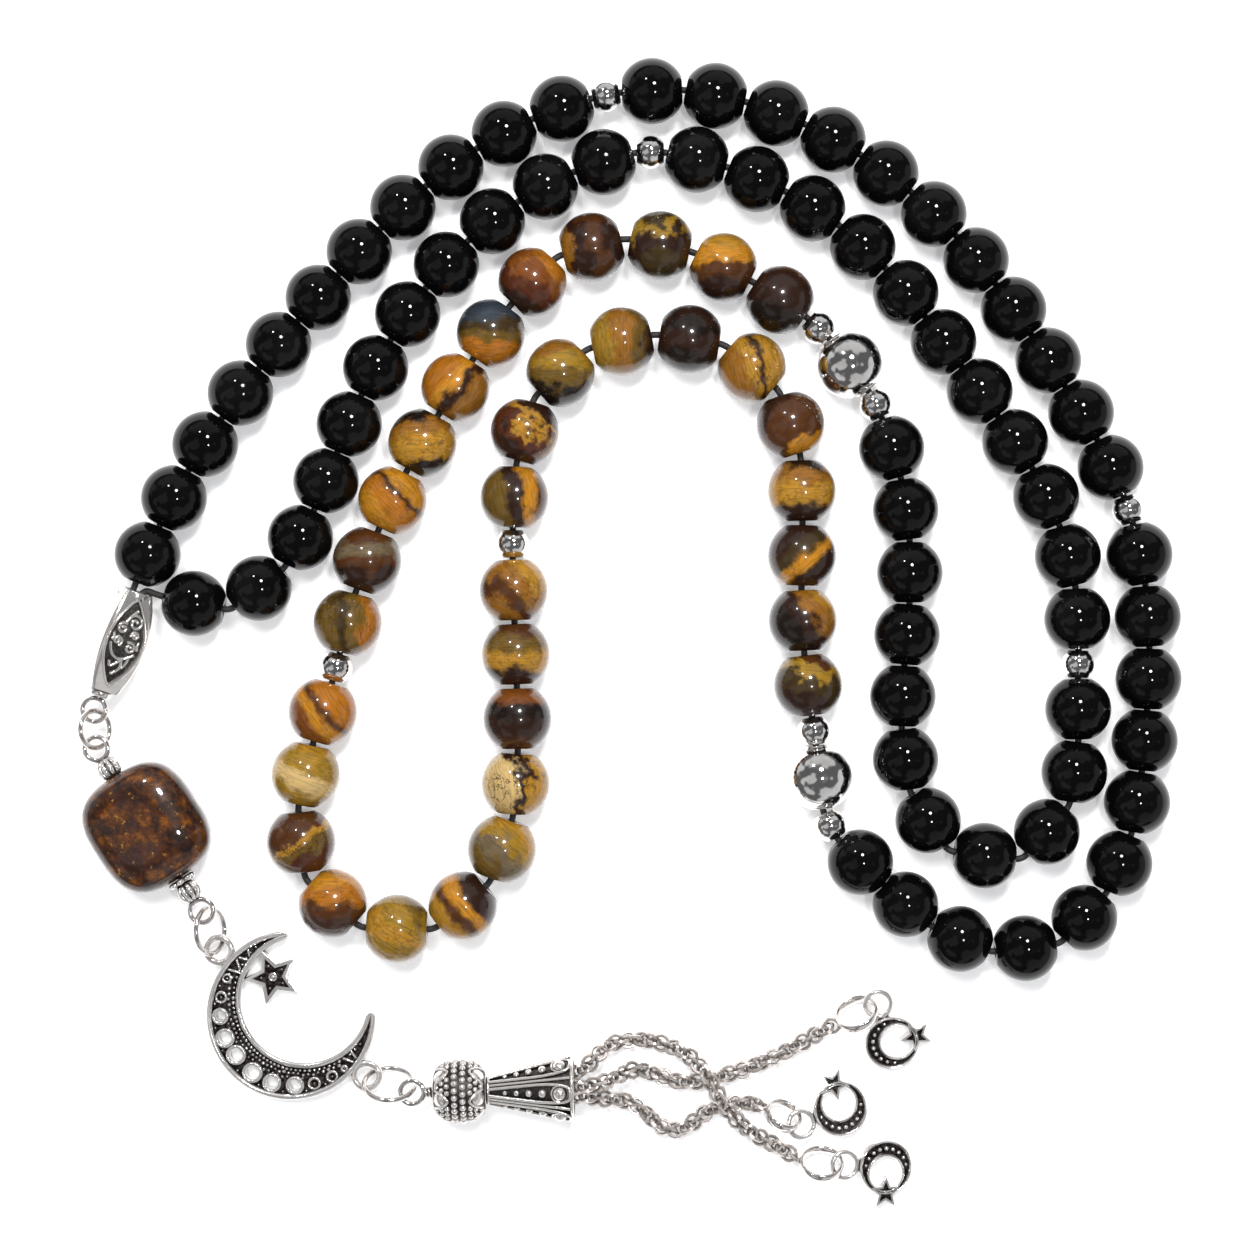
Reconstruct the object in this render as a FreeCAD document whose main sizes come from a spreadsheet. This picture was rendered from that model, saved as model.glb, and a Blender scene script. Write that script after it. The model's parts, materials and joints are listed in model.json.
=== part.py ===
import FreeCAD, Part
import math
import os

import Sketcher

# A 99-stone misbaha laid out flat: one string of stones in two turns of a loop, an imame where the
# string's ends meet, and a tail of stone, crescent, tassel cone and three charm chains.
# Millimetres. The part rests on Z = 0; its origin is the middle of the footprint without the chains.

Vector = FreeCAD.Vector
Placement = FreeCAD.Placement
Rotation = FreeCAD.Rotation
UP = Vector(0, 0, 1)

doc = FreeCAD.newDocument("misbaha_prayer_beads")

# ---------------------------------------------------------------- driving dimensions
DIMENSIONS = {
    # stones and beads on the string: dia is across, length is along the bore
    "stone_dia": 8.0,
    "stone_length": "=0.91875 * stone_dia",
    "tiger_extra": 0.35,
    "stone_bore": 1.2,
    "large_dia": 8.2,
    "large_length": 7.7,
    "spacer_dia": 4.0,
    "spacer_length": 3.3,
    "spacer_end_dia": 2.8,
    "string_dia": 0.8,
    "string_fit": 0.1,
    "bead_gap": 0.06,
    "string_bend": 0.9,
    # imame: four-sided bead, hollow for the knot
    "imame_length": 12.6,
    "imame_width": 5.7,
    "imame_end_width": 3.4,
    "imame_collar_dia": 4.4,
    "imame_collar_length": 1.2,
    "imame_mouth_dia": 2.5,
    "imame_mouth_depth": 1.6,
    "imame_chamber_dia": 3.4,
    "imame_floor": 1.8,
    "imame_roll": -25.0,
    "imame_lay": -109.9,
    "knot_dia": 3.0,
    "collar_dia": 3.0,
    "collar_length": 0.8,
    # wire eyes, pins and jump rings
    "pin_dia": 0.65,
    "pin_fit": 0.05,
    "pin_head_dia": 2.0,
    "pin_head_length": 0.5,
    "eye_dia": 3.5,
    "link_wire": 0.7,
    "upper_link_dia": 5.2,
    "middle_link_dia": 6.3,
    "lower_link_dia": 6.8,
    "link_slack": 0.1,
    "seat_gap": 0.05,
    # the large stone and what is threaded beside it
    "nugget_length": 14.7,
    "nugget_width": 13.7,
    "nugget_height": 8.6,
    "nugget_round": 4.2,
    "fluted_dia": 2.8,
    "fluted_length": 2.1,
    "cap_dia": 3.8,
    "cap_length": 0.8,
    # cast crescent and star
    "crescent_dia": 20.6,
    "crescent_inner_dia": 15.5,
    "crescent_offset": 2.5,
    "crescent_height": 2.4,
    "crescent_rim": 0.7,
    "crescent_recess": 0.5,
    "crescent_hole_dia": 1.4,
    "star_dia": 7.0,
    "star_height": 2.2,
    "cast_eye_dia": 3.9,
    "cast_eye_wire": 0.8,
    "cast_eye_level": 1.9,
    # tassel
    "round_bead_dia": 8.0,
    "round_bead_length": 6.4,
    "wrap_dia": 1.5,
    "wrap_length": 0.8,
    "cone_length": 10.6,
    "cone_neck_dia": 3.4,
    "cone_mouth_dia": 8.3,
    "cone_wall": 0.5,
    "cone_neck_depth": 1.6,
    "chain_dia": 2.2,
    # band rings and charms on the chain ends
    "band_dia": 5.4,
    "small_band_dia": 4.6,
    "band_wall": 0.4,
    "band_width": 1.2,
    "charm_dia": 6.7,
    "charm_inner_dia": 4.1,
    "charm_offset": 0.75,
    "charm_height": 1.2,
    "charm_star_dia": 4.1,
    "charm_eye_dia": 3.8,
    "charm_eye_wire": 0.6,
    "charm_eye_reach": 5.2,
}

sheet = doc.addObject("Spreadsheet::Sheet", "sizes")
for row, (alias, value) in enumerate(DIMENSIONS.items(), start=1):
    sheet.set(f"A{row}", alias)
    sheet.set(f"B{row}", str(value))
    sheet.setAlias(f"B{row}", alias)
doc.recompute()


def size(alias):
    return float(sheet.get(alias))


def bind(feature, **expressions):
    for path, expression in expressions.items():
        feature.setExpression(path.replace("__", "."), expression)
    return feature


# ---------------------------------------------------------------- small makers
def cylinder(name, radius, length, start="0", x="0", y="0"):
    made = doc.addObject("Part::Cylinder", name)
    bind(made, Radius=radius, Height=length)
    bind(made, Placement__Base__x=x, Placement__Base__y=y, Placement__Base__z=start)
    return made


def ball(name, radius):
    return bind(doc.addObject("Part::Sphere", name), Radius=radius)


def ring(name, outer_dia, wire, upright=False):
    """A wire ring about Z, or about Y when it stands upright in the XZ plane."""
    made = bind(
        doc.addObject("Part::Torus", name),
        Radius1=f"({outer_dia} - {wire}) / 2",
        Radius2=f"{wire} / 2",
    )
    if upright:
        made.Placement = Placement(Vector(), Rotation(Vector(1, 0, 0), 90))
    return made


def fuse(name, *shapes):
    made = doc.addObject("Part::MultiFuse", name)
    made.Shapes = list(shapes)
    return made


def common(name, *shapes):
    made = doc.addObject("Part::MultiCommon", name)
    made.Shapes = list(shapes)
    return made


def cut(name, base, *tools):
    made = doc.addObject("Part::Cut", name)
    made.Base = base
    made.Tool = tools[0] if len(tools) == 1 else fuse(name + "_tools", *tools)
    return made


def sketched_body(name, corners):
    """A PartDesign body with one closed sketch whose corners are bound to the sheet."""
    body = doc.addObject("PartDesign::Body", name)
    sketch = body.newObject("Sketcher::SketchObject", name + "_outline")
    plane = [item for item in body.Origin.OriginFeatures if item.Role == "XY_Plane"][0]
    sketch.AttachmentSupport = [(plane, "")]
    sketch.MapMode = "FlatFace"
    count = len(corners)
    for index in range(count):
        start = Vector(math.cos(2 * math.pi * index / count), math.sin(2 * math.pi * index / count), 0)
        end_turn = 2 * math.pi * (index + 1) / count
        end = Vector(math.cos(end_turn), math.sin(end_turn), 0)
        sketch.addGeometry(Part.LineSegment(start, end), False)
    for index in range(count):
        sketch.addConstraint(Sketcher.Constraint("Coincident", index, 2, (index + 1) % count, 1))
    for index, (x_size, y_size) in enumerate(corners):
        for kind, expression in (("DistanceX", x_size), ("DistanceY", y_size)):
            number = sketch.addConstraint(Sketcher.Constraint(kind, -1, 1, index, 1, 1.0))
            sketch.setExpression(f"Constraints[{number}]", expression)
    return body, sketch


def turned(name, corners):
    """A body turned about the sketch's upright axis; corners are (radius, height)."""
    body, sketch = sketched_body(name, corners)
    turn = body.newObject("PartDesign::Revolution", name + "_turn")
    turn.Profile = sketch
    turn.ReferenceAxis = (sketch, ["V_Axis"])
    turn.Angle = 360
    # the sketch's upright axis becomes the piece's Z axis
    return cut_free(name + "_upright", body)


def cut_free(name, body):
    """The finished body stood up, so that its turning axis is Z."""
    link = doc.addObject("App::Link", name)
    link.LinkedObject = body
    link.LinkPlacement = Placement(Vector(), Rotation(Vector(1, 0, 0), 90))
    made = doc.addObject("Part::Compound", name + "_piece")
    made.Links = [link]
    return made


def padded(name, corners, height):
    body, sketch = sketched_body(name, corners)
    pad = body.newObject("PartDesign::Pad", name + "_pad")
    pad.Profile = sketch
    bind(pad, Length=height)
    return body


def star(name, tip_dia, height, turn, inner_share=0.42):
    """A five-pointed star standing on the XY plane, one tip at the angle turn."""
    corners = []
    for index in range(10):
        share = 1.0 if index % 2 == 0 else inner_share
        angle = turn + 36 * index
        corners.append(
            (
                f"{tip_dia} / 2 * {share} * cos({angle} deg)",
                f"{tip_dia} / 2 * {share} * sin({angle} deg)",
            )
        )
    return padded(name, corners, height)


pieces = {}


def place(node, made, origin, z_axis=UP, roll=0.0):
    """Names the piece and stands its Z axis along z_axis; its Y axis is as upright as it can be."""
    z_axis = Vector(z_axis).normalize()
    y_axis = Vector(0, 1, 0) if abs(z_axis.z) > 0.999 else (UP - z_axis * z_axis.z).normalize()
    x_axis = y_axis.cross(z_axis)
    turn = Rotation(x_axis, y_axis, z_axis, "ZXY").multiply(Rotation(Vector(0, 0, 1), roll))
    made.Placement = Placement(origin, turn)
    made.Label = node
    pieces[node] = made


def heading(angle):
    return Vector(math.cos(math.radians(angle)), math.sin(math.radians(angle)), 0)


# ---------------------------------------------------------------- stones and metal beads
def drilled_ball(name, dia, length, bore):
    """A ball with its two drilled ends ground flat."""
    between_ends = cylinder(name + "_ends", dia, length, f"-{length} / 2")
    hole = cylinder(name + "_bore", f"{bore} / 2", f"{length} * 2", f"-{length}")
    return cut(name, common(name + "_ground", ball(name + "_ball", f"{dia} / 2"), between_ends), hole)


black_stone = drilled_ball("black_stone", "sizes.stone_dia", "sizes.stone_length", "sizes.stone_bore")
tiger_stone = drilled_ball(
    "tiger_stone",
    "(sizes.stone_dia + sizes.tiger_extra)",
    "(sizes.stone_length + sizes.tiger_extra)",
    "sizes.stone_bore",
)
METAL_BORE = "(sizes.string_dia + 2 * sizes.string_fit)"


def large_silver_bead(name):
    return drilled_ball(name, "sizes.large_dia", "sizes.large_length", METAL_BORE)


def barrel(name, bore, dia, end_dia, length, shoulder=0.28):
    """A small turned bead: flat ends, sloped shoulders and a straight belt."""
    return turned(
        name,
        [
            (f"{bore} / 2", f"-{length} / 2"),
            (f"{end_dia} / 2", f"-{length} / 2"),
            (f"{dia} / 2", f"-{length} * {shoulder}"),
            (f"{dia} / 2", f"{length} * {shoulder}"),
            (f"{end_dia} / 2", f"{length} / 2"),
            (f"{bore} / 2", f"{length} / 2"),
        ],
    )


def spacer_bead(name):
    return barrel(name, METAL_BORE, "sizes.spacer_dia", "sizes.spacer_end_dia", "sizes.spacer_length")


# ---------------------------------------------------------------- laying the beads along the string
# the lay line that the string follows, from above the imame's mouth and back to its side
MOUTH = Vector(-59.1, -0.2, 0)
LAY_LINE = [
    (-51.0, 17.5), (-37.0, 35.5), (-20.5, 51.5), (-6.0, 58.5), (3.5, 60.0), (18.0, 57.0),
    (36.5, 45.0), (50.0, 27.5), (59.5, 10.0), (62.0, -3.0), (61.5, -18.5), (58.5, -33.5),
    (55.0, -39.0), (49.0, -43.5), (40.5, -42.5), (33.5, -38.5), (28.0, -33.0), (23.5, -28.0),
    (22.5, -22.0), (21.0, -10.0), (20.5, 5.5), (19.0, 21.5), (14.0, 28.0), (6.0, 30.5),
    (-2.0, 30.0), (-9.5, 26.0), (-14.0, 11.5), (-14.0, -1.0), (-13.5, -17.5), (-16.0, -33.5),
    (-21.0, -39.5), (-30.0, -41.0), (-38.0, -36.5), (-40.0, -28.5), (-36.0, -12.0),
    (-33.0, -0.5), (-23.0, 21.0), (-14.5, 34.0), (-9.5, 39.5), (-2.5, 42.0), (6.0, 41.0),
    (13.5, 37.5), (20.0, 33.5), (27.5, 25.5), (32.0, 15.0), (33.5, 0.5), (33.0, -22.5),
    (36.5, -30.0), (44.5, -33.0), (51.5, -28.0), (53.5, -12.5), (53.5, -1.5), (49.0, 13.0),
    (40.5, 25.5), (27.0, 42.0), (6.5, 52.0), (1.5, 52.5), (-3.0, 51.5), (-17.0, 44.0),
    (-26.5, 33.5), (-33.5, 20.5), (-39.5, 6.0), (-44.0, -0.5),
]
MOUTH_GAP = 1.0
SIDE_REACH = 3.3
STRAND_SPREAD = 0.5

imame_down = heading(size("imame_lay"))
imame_side = UP.cross(imame_down)


def stone_row(node):
    return [("stone", node)] * 11


def strand_beads():
    """(kind, node) of every bead, in order from the imame's mouth round to its side."""
    row = []
    spacers = iter(range(1, 11))
    for third, (kind, group) in enumerate((("black", 0), ("tiger", 0), ("black", 3))):
        stones = "tiger_eye_stones" if kind == "tiger" else "black_stones"
        for part in range(1, 4):
            row += [(kind, f"{stones}_{group + part}")] * 11
            if part < 3:
                row.append(("spacer", f"spacer_bead_{next(spacers)}"))
        if third < 2:
            row.append(("spacer", f"spacer_bead_{next(spacers)}"))
            row.append(("large", f"large_silver_bead_{third + 1}"))
            row.append(("spacer", f"spacer_bead_{next(spacers)}"))
    return row


def bead_forms():
    """Half length, end radius and outer radius of each kind of bead."""
    forms = {}
    for kind, dia, length in (
        ("black", size("stone_dia"), size("stone_length")),
        ("tiger", size("stone_dia") + size("tiger_extra"), size("stone_length") + size("tiger_extra")),
        ("large", size("large_dia"), size("large_length")),
    ):
        end_radius = math.sqrt(dia**2 - length**2) / 2
        forms[kind] = (length / 2, end_radius, dia / 2)
    forms["spacer"] = (size("spacer_length") / 2, size("spacer_end_dia") / 2, size("spacer_dia") / 2)
    return forms


def half_pitch(form, turn):
    """From a bead's centre to the string's bend, so that it clears the plane halving the turn."""
    half_length, end_radius, outer_radius = form
    tilt = turn / 2
    if tilt < math.atan2(end_radius, half_length):
        reach = half_length * math.cos(tilt) + end_radius * math.sin(tilt)
    else:
        reach = outer_radius
    return reach / math.cos(tilt) + size("bead_gap") / 2


def walk(curve, lengths, scale):
    """Bends of the string at those lengths along the scaled lay line, and how far the walk overran."""
    at = curve.FirstParameter
    here = curve.value(at)
    bends = [here]
    for length in lengths:
        step = length / scale
        low, high = at, at + 2.5 * step
        if curve.value(min(high, curve.LastParameter)).distanceToPoint(here) < step:
            return bends, 1.0
        for _ in range(26):
            middle = (low + high) / 2
            if middle < curve.LastParameter and curve.value(middle).distanceToPoint(here) < step:
                low = middle
            else:
                high = middle
        at = (low + high) / 2
        here = curve.value(at)
        bends.append(here)
    return bends, at - curve.LastParameter


def turn_at(before, here, after):
    first = (here - before).normalize()
    second = (after - here).normalize()
    return math.acos(max(-1.0, min(1.0, first.dot(second))))


def lay_strand(beads):
    """The string's bends and each bead's centre, with the lay line scaled until the beads fill it."""
    forms = bead_forms()
    start = MOUTH - imame_down * MOUTH_GAP - imame_side * STRAND_SPREAD
    end = MOUTH + imame_side * SIDE_REACH - imame_down * MOUTH_GAP / 2
    points = [start] + [Vector(x, y, 0) for x, y in LAY_LINE] + [end]
    curve = Part.BSplineCurve()
    steps = [0.0]
    for before, after in zip(points, points[1:]):
        steps.append(steps[-1] + before.distanceToPoint(after))
    curve.interpolate(Points=points, Parameters=steps)
    turns = [0.0] * (len(beads) + 1)
    for _ in range(5):
        ahead = [half_pitch(forms[kind], turn) for (kind, node), turn in zip(beads, turns)]
        behind = [half_pitch(forms[kind], turn) for (kind, node), turn in zip(beads, turns[1:])]
        lengths = [front + back for front, back in zip(ahead, behind)]
        low, high = 0.5, 2.0
        for _ in range(30):
            scale = (low + high) / 2
            bends, overrun = walk(curve, lengths, scale)
            if overrun > 0:
                low = scale
            else:
                high = scale
        bends, overrun = walk(curve, lengths, high)
        inner = [turn_at(*bends[i - 1 : i + 2]) for i in range(1, len(bends) - 1)]
        turns = [0.0] + inner + [0.0]
    bends = [MOUTH + (bend - MOUTH) * high for bend in bends]
    centres = []
    for before, after, front in zip(bends, bends[1:], ahead):
        centres.append(before + (after - before).normalize() * front)
    return bends, centres, high


def lift(point, level):
    return Vector(point.x, point.y, level)


beads = strand_beads()
bends, centres, lay_scale = lay_strand(beads)
strand_level = max(form[2] for form in bead_forms().values())
bends = [lift(bend, strand_level) for bend in bends]
centres = [lift(centre, strand_level) for centre in centres]
print(f"lay scale {lay_scale:.4f}, strand level {strand_level:.3f}")

stone_masters = {"black": black_stone, "tiger": tiger_stone}
groups = {}
for index, (kind, node) in enumerate(beads):
    along = (bends[index + 1] - bends[index]).normalize()
    if kind in stone_masters:
        stone = doc.addObject("App::Link", f"{node}_{index}")
        stone.LinkedObject = stone_masters[kind]
        stone.LinkPlacement = Placement(centres[index], Rotation(UP, along))
        groups.setdefault(node, []).append(stone)
    else:
        made = large_silver_bead(node) if kind == "large" else spacer_bead(node)
        place(node, made, centres[index], along)
for node, stones in groups.items():
    row = doc.addObject("Part::Compound", node)
    row.Links = stones
    row.Label = node
    pieces[node] = row


# ---------------------------------------------------------------- cords: straight runs and tangent arcs
def rounded_path(points, longest_tangent=None):
    """One wire through the points; each corner is an arc as large as its two runs allow."""
    edges = []
    radii = []
    start = points[0]
    for before, here, after in zip(points, points[1:], points[2:]):
        turn = turn_at(before, here, after)
        tangent = 0.45 * min(before.distanceToPoint(here), here.distanceToPoint(after))
        if longest_tangent:
            tangent = min(tangent, longest_tangent)
        if turn < math.radians(0.05):
            continue
        back = (before - here).normalize()
        forth = (after - here).normalize()
        radius = tangent / math.tan(turn / 2)
        arc_start = here + back * tangent
        arc_end = here + forth * tangent
        inward = (back + forth).normalize()
        middle = here + inward * (radius / math.cos(turn / 2) - radius)
        edges.append(Part.LineSegment(start, arc_start).toShape())
        edges.append(Part.Arc(arc_start, middle, arc_end).toShape())
        radii.append(radius)
        start = arc_end
    edges.append(Part.LineSegment(start, points[-1]).toShape())
    return Part.Wire(edges), radii


def cord_tube(name, points, dia, longest_tangent=None):
    path, radii = rounded_path(points, longest_tangent)
    along = points[1] - points[0]
    section = Part.Wire(Part.makeCircle(dia / 2, points[0], along))
    made = doc.addObject("Part::Feature", name)
    made.Shape = path.makePipeShell([section], True, False)
    made.Label = name
    pieces[name] = made
    expected = path.Length * math.pi * dia**2 / 4
    print(
        f"{name}: length {path.Length:.2f}, least radius {min(radii):.2f}, "
        f"volume over section x length {made.Shape.Volume / expected:.4f}"
    )
    return path.Length


# ---------------------------------------------------------------- imame, knot and the pin below it
imame_origin = lift(MOUTH, strand_level)


def in_imame(down, side):
    return imame_origin + imame_down * down + imame_side * side


def imame_bead():
    """The common body of four rounds makes the four bowed faces; the knot chamber is drilled in."""
    # round whose bow is imame_width wide at the middle and imame_end_width at the ends
    bow = "((sizes.imame_width - sizes.imame_end_width) / 2)"
    bow_radius = f"((sizes.imame_length ^ 2 / 4 + {bow} ^ 2) / (2 * {bow}))"
    rounds = []
    for name, axis, sign in (("left", "x", 1), ("right", "x", -1), ("top", "y", 1), ("under", "y", -1)):
        made = doc.addObject("Part::Cylinder", "imame_round_" + name)
        bind(made, Radius=bow_radius, Height="sizes.imame_width * 2")
        turn = Rotation(Vector(1, 0, 0), 90) if axis == "x" else Rotation(Vector(0, 1, 0), 90)
        made.Placement = Placement(Vector(), turn)
        offset = f"{sign} * ({bow_radius} - sizes.imame_width / 2)"
        across = "sizes.imame_width" if axis == "x" else "-sizes.imame_width"
        if axis == "x":
            bind(made, Placement__Base__x=offset, Placement__Base__y=across)
        else:
            bind(made, Placement__Base__y=offset, Placement__Base__x=across)
        bind(made, Placement__Base__z="sizes.imame_length / 2")
        rounds.append(made)
    ends = cylinder("imame_ends", "sizes.imame_width", "sizes.imame_length")
    collar = cylinder("imame_mouth_collar", "sizes.imame_collar_dia / 2", "sizes.imame_collar_length")
    body = fuse("imame_blank", common("imame_faces", ends, *rounds), collar)
    mouth = cylinder("imame_mouth", "sizes.imame_mouth_dia / 2", "sizes.imame_length / 2")
    chamber = cylinder(
        "imame_chamber",
        "sizes.imame_chamber_dia / 2",
        "sizes.imame_length - sizes.imame_mouth_depth - sizes.imame_floor",
        "sizes.imame_mouth_depth",
    )
    pin_hole = cylinder(
        "imame_pin_hole",
        "sizes.pin_dia / 2 + sizes.pin_fit",
        "sizes.imame_length / 2 + 1",
        "sizes.imame_length / 2",
    )
    return cut("imame", body, mouth, chamber, pin_hole)


def barrel_on_pin(name, dia, end_dia, length, shoulder=0.28):
    return barrel(name, "(sizes.pin_dia + 2 * sizes.pin_fit)", dia, end_dia, length, shoulder)


def eyed_pin(name, shank, end_eye=False, head=False, wrap=False):
    """A wire eye at the origin, its shank along Z, and a second eye or a flat head at the far end.

    A wrap is the wire's end wound round the shank beside the first eye.
    """
    shapes = [
        ring(name + "_eye", "sizes.eye_dia", "sizes.pin_dia", upright=True),
        cylinder(
            name + "_shank",
            "sizes.pin_dia / 2",
            f"{shank} - (sizes.eye_dia - sizes.pin_dia) / 2",
            "(sizes.eye_dia - sizes.pin_dia) / 2",
        ),
    ]
    if end_eye:
        far_eye = ring(name + "_far_eye", "sizes.eye_dia", "sizes.pin_dia", upright=True)
        bind(far_eye, Placement__Base__z=f"{shank} + (sizes.eye_dia - sizes.pin_dia) / 2")
        shapes.append(far_eye)
    if head:
        shapes.append(
            cylinder(name + "_head", "sizes.pin_head_dia / 2", "sizes.pin_head_length", shank)
        )
    if wrap:
        shapes.append(
            cylinder(name + "_wrap", "sizes.wrap_dia / 2", "sizes.wrap_length", "sizes.eye_dia / 2")
        )
    return fuse(name, *shapes)


place("imame_bead", imame_bead(), imame_origin, imame_down, size("imame_roll"))
knot_down = size("imame_mouth_depth") + size("knot_dia") / 2 + 0.3
place("string_knot", ball("knot", "sizes.knot_dia / 2"), in_imame(knot_down, 0))

collar_down = size("imame_length") + size("seat_gap")
place(
    "imame_collar",
    barrel_on_pin("collar", "sizes.collar_dia", "sizes.collar_dia * 0.75", "sizes.collar_length"),
    in_imame(collar_down + size("collar_length") / 2, 0),
    imame_down,
)
eye_radius = size("eye_dia") / 2
first_eye = in_imame(collar_down + size("collar_length") + size("seat_gap") + eye_radius, 0)
imame_shank = (
    "(sizes.eye_dia / 2 + sizes.collar_length + sizes.imame_floor + 3 * sizes.seat_gap)"
)
place("imame_eye_pin", eyed_pin("imame_pin", imame_shank, head=True), first_eye, -imame_down)

knot_grip = size("knot_dia") / 2 - 0.5
side_level = -MOUTH_GAP / 2
string_points = [in_imame(knot_down - knot_grip, -STRAND_SPREAD)]
string_points += bends
string_points += [
    in_imame(side_level, STRAND_SPREAD + 0.35),
    in_imame(0.6, STRAND_SPREAD),
    in_imame(knot_down - knot_grip, STRAND_SPREAD * 0.9),
]
string_length = cord_tube("bead_string", string_points, size("string_dia"), size("string_bend"))


# ---------------------------------------------------------------- the tail, link by link
# headings that the tail's pieces lie at; a larger loop pushes the whole tail outwards
TAIL_GIVE = 40.0
tail_turn = -TAIL_GIVE * (lay_scale - 1)
UPPER_LINK_HEADING = -86.0
NUGGET_HEADING = -56.5
MIDDLE_LINK_HEADING = -70.0
CRESCENT_TURN = 0.0
LOWER_LINK_HEADING = -16.0
TASSEL_HEADING = 2.0
UPPER_LINK_ROLL = 50.0
MIDDLE_LINK_ROLL = 57.0
LOWER_LINK_ROLL = 57.0


def tail_heading(angle):
    return heading(angle + tail_turn)


def link_between(node, dia_alias, eye_from, angle, level, roll):
    """A jump ring rolled about the line between two eyes; returns the second eye's centre."""
    span = size(dia_alias) - size("link_wire") + 2 * size("link_slack")
    rise = level - eye_from.z
    along = tail_heading(angle) * math.sqrt(span**2 - rise**2)
    eye_to = eye_from + along + Vector(0, 0, rise)
    centre = (eye_from + eye_to) / 2
    line = (eye_to - eye_from).normalize()
    side = UP.cross(line).normalize()
    over = line.cross(side)
    normal = over * math.cos(math.radians(roll)) + side * math.sin(math.radians(roll))
    place(node, ring(node, f"sizes.{dia_alias}", "sizes.link_wire"), centre, normal)
    return eye_to


nugget_level = size("nugget_height") / 2
second_eye = link_between(
    "upper_link_ring", "upper_link_dia", first_eye, UPPER_LINK_HEADING, nugget_level, UPPER_LINK_ROLL
)

# the threaded stone: fluted bead, stone, cap and fluted bead between the pin's two eyes
nugget_along = tail_heading(NUGGET_HEADING)
threaded = [
    ("nugget_upper_bead", size("fluted_length")),
    ("nugget_stone", size("nugget_length")),
    ("nugget_cap", size("cap_length")),
    ("nugget_lower_bead", size("fluted_length")),
]
nugget_shank = (
    "(sizes.eye_dia / 2 + 2 * sizes.fluted_length + sizes.nugget_length + sizes.cap_length"
    " + 5 * sizes.seat_gap + sizes.pin_dia / 2)"
)
place(
    "nugget_pin", eyed_pin("nugget_wire", nugget_shank, end_eye=True), second_eye, nugget_along
)


def nugget_stone():
    """A cushion with broad rounded edges, drilled along its length."""
    blank = doc.addObject("Part::Box", "nugget_blank")
    bind(
        blank,
        Length="sizes.nugget_width",
        Width="sizes.nugget_height",
        Height="sizes.nugget_length",
        Placement__Base__x="-sizes.nugget_width / 2",
        Placement__Base__y="-sizes.nugget_height / 2",
        Placement__Base__z="-sizes.nugget_length / 2",
    )
    doc.recompute()
    rounded = doc.addObject("Part::Fillet", "nugget_rounded")
    rounded.Base = blank
    radius = min(size("nugget_round"), size("nugget_height") * 0.46, size("nugget_width") * 0.46)
    rounded.Edges = [(number, radius, radius) for number in range(1, 13)]
    hole = cylinder(
        "nugget_bore",
        "sizes.pin_dia / 2 + sizes.pin_fit",
        "sizes.nugget_length * 2",
        "-sizes.nugget_length",
    )
    return cut("nugget", rounded, hole)


def fluted_bead(name):
    return barrel_on_pin(name, "sizes.fluted_dia", "sizes.fluted_dia * 0.6", "sizes.fluted_length", 0.2)


nugget_makers = {
    "nugget_upper_bead": lambda: fluted_bead("upper_fluted"),
    "nugget_stone": nugget_stone,
    "nugget_cap": lambda: barrel_on_pin(
        "daisy_cap", "sizes.cap_dia", "sizes.cap_dia * 0.8", "sizes.cap_length"
    ),
    "nugget_lower_bead": lambda: fluted_bead("lower_fluted"),
}
reach = eye_radius + size("seat_gap")
for node, length in threaded:
    place(node, nugget_makers[node](), second_eye + nugget_along * (reach + length / 2), nugget_along)
    reach += length + size("seat_gap")
third_eye = second_eye + nugget_along * (reach + eye_radius)

crescent_eye_level = size("cast_eye_level")
fourth_eye = link_between(
    "middle_link_ring",
    "middle_link_dia",
    third_eye,
    MIDDLE_LINK_HEADING,
    crescent_eye_level,
    MIDDLE_LINK_ROLL,
)

# cast crescent: directions from the middle of its outer round, with the piece face up
UPPER_EYE_AT = 138.6
LOWER_EYE_AT = -38.3
BOW_AT = 50.0
GAP_TURN = 2.5
HOLES_FROM = 181.0
HOLES_STEP = 18.5
HOLE_COUNT = 6
STAR_AT = (-2.3, 4.6)
STAR_TURN = 41.0


def crescent_blank(name, outer_dia, inner_dia, offset_x, offset_y, height, level="0"):
    outer = cylinder(name + "_outer", f"{outer_dia} / 2", height, level)
    inner = cylinder(name + "_inner", f"{inner_dia} / 2", f"{height} * 3", f"{level} - {height}", offset_x, offset_y)
    return cut(name, outer, inner)


def cast_eye_ring(name, outer_dia, wire, reach_size, angle, level):
    made = ring(name, outer_dia, wire)
    bind(
        made,
        Placement__Base__x=f"{reach_size} * cos({angle} deg)",
        Placement__Base__y=f"{reach_size} * sin({angle} deg)",
        Placement__Base__z=level,
    )
    return made


CRESCENT_EYE_REACH = "(sizes.crescent_dia / 2 + sizes.cast_eye_dia / 2 - sizes.cast_eye_wire / 2)"


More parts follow.
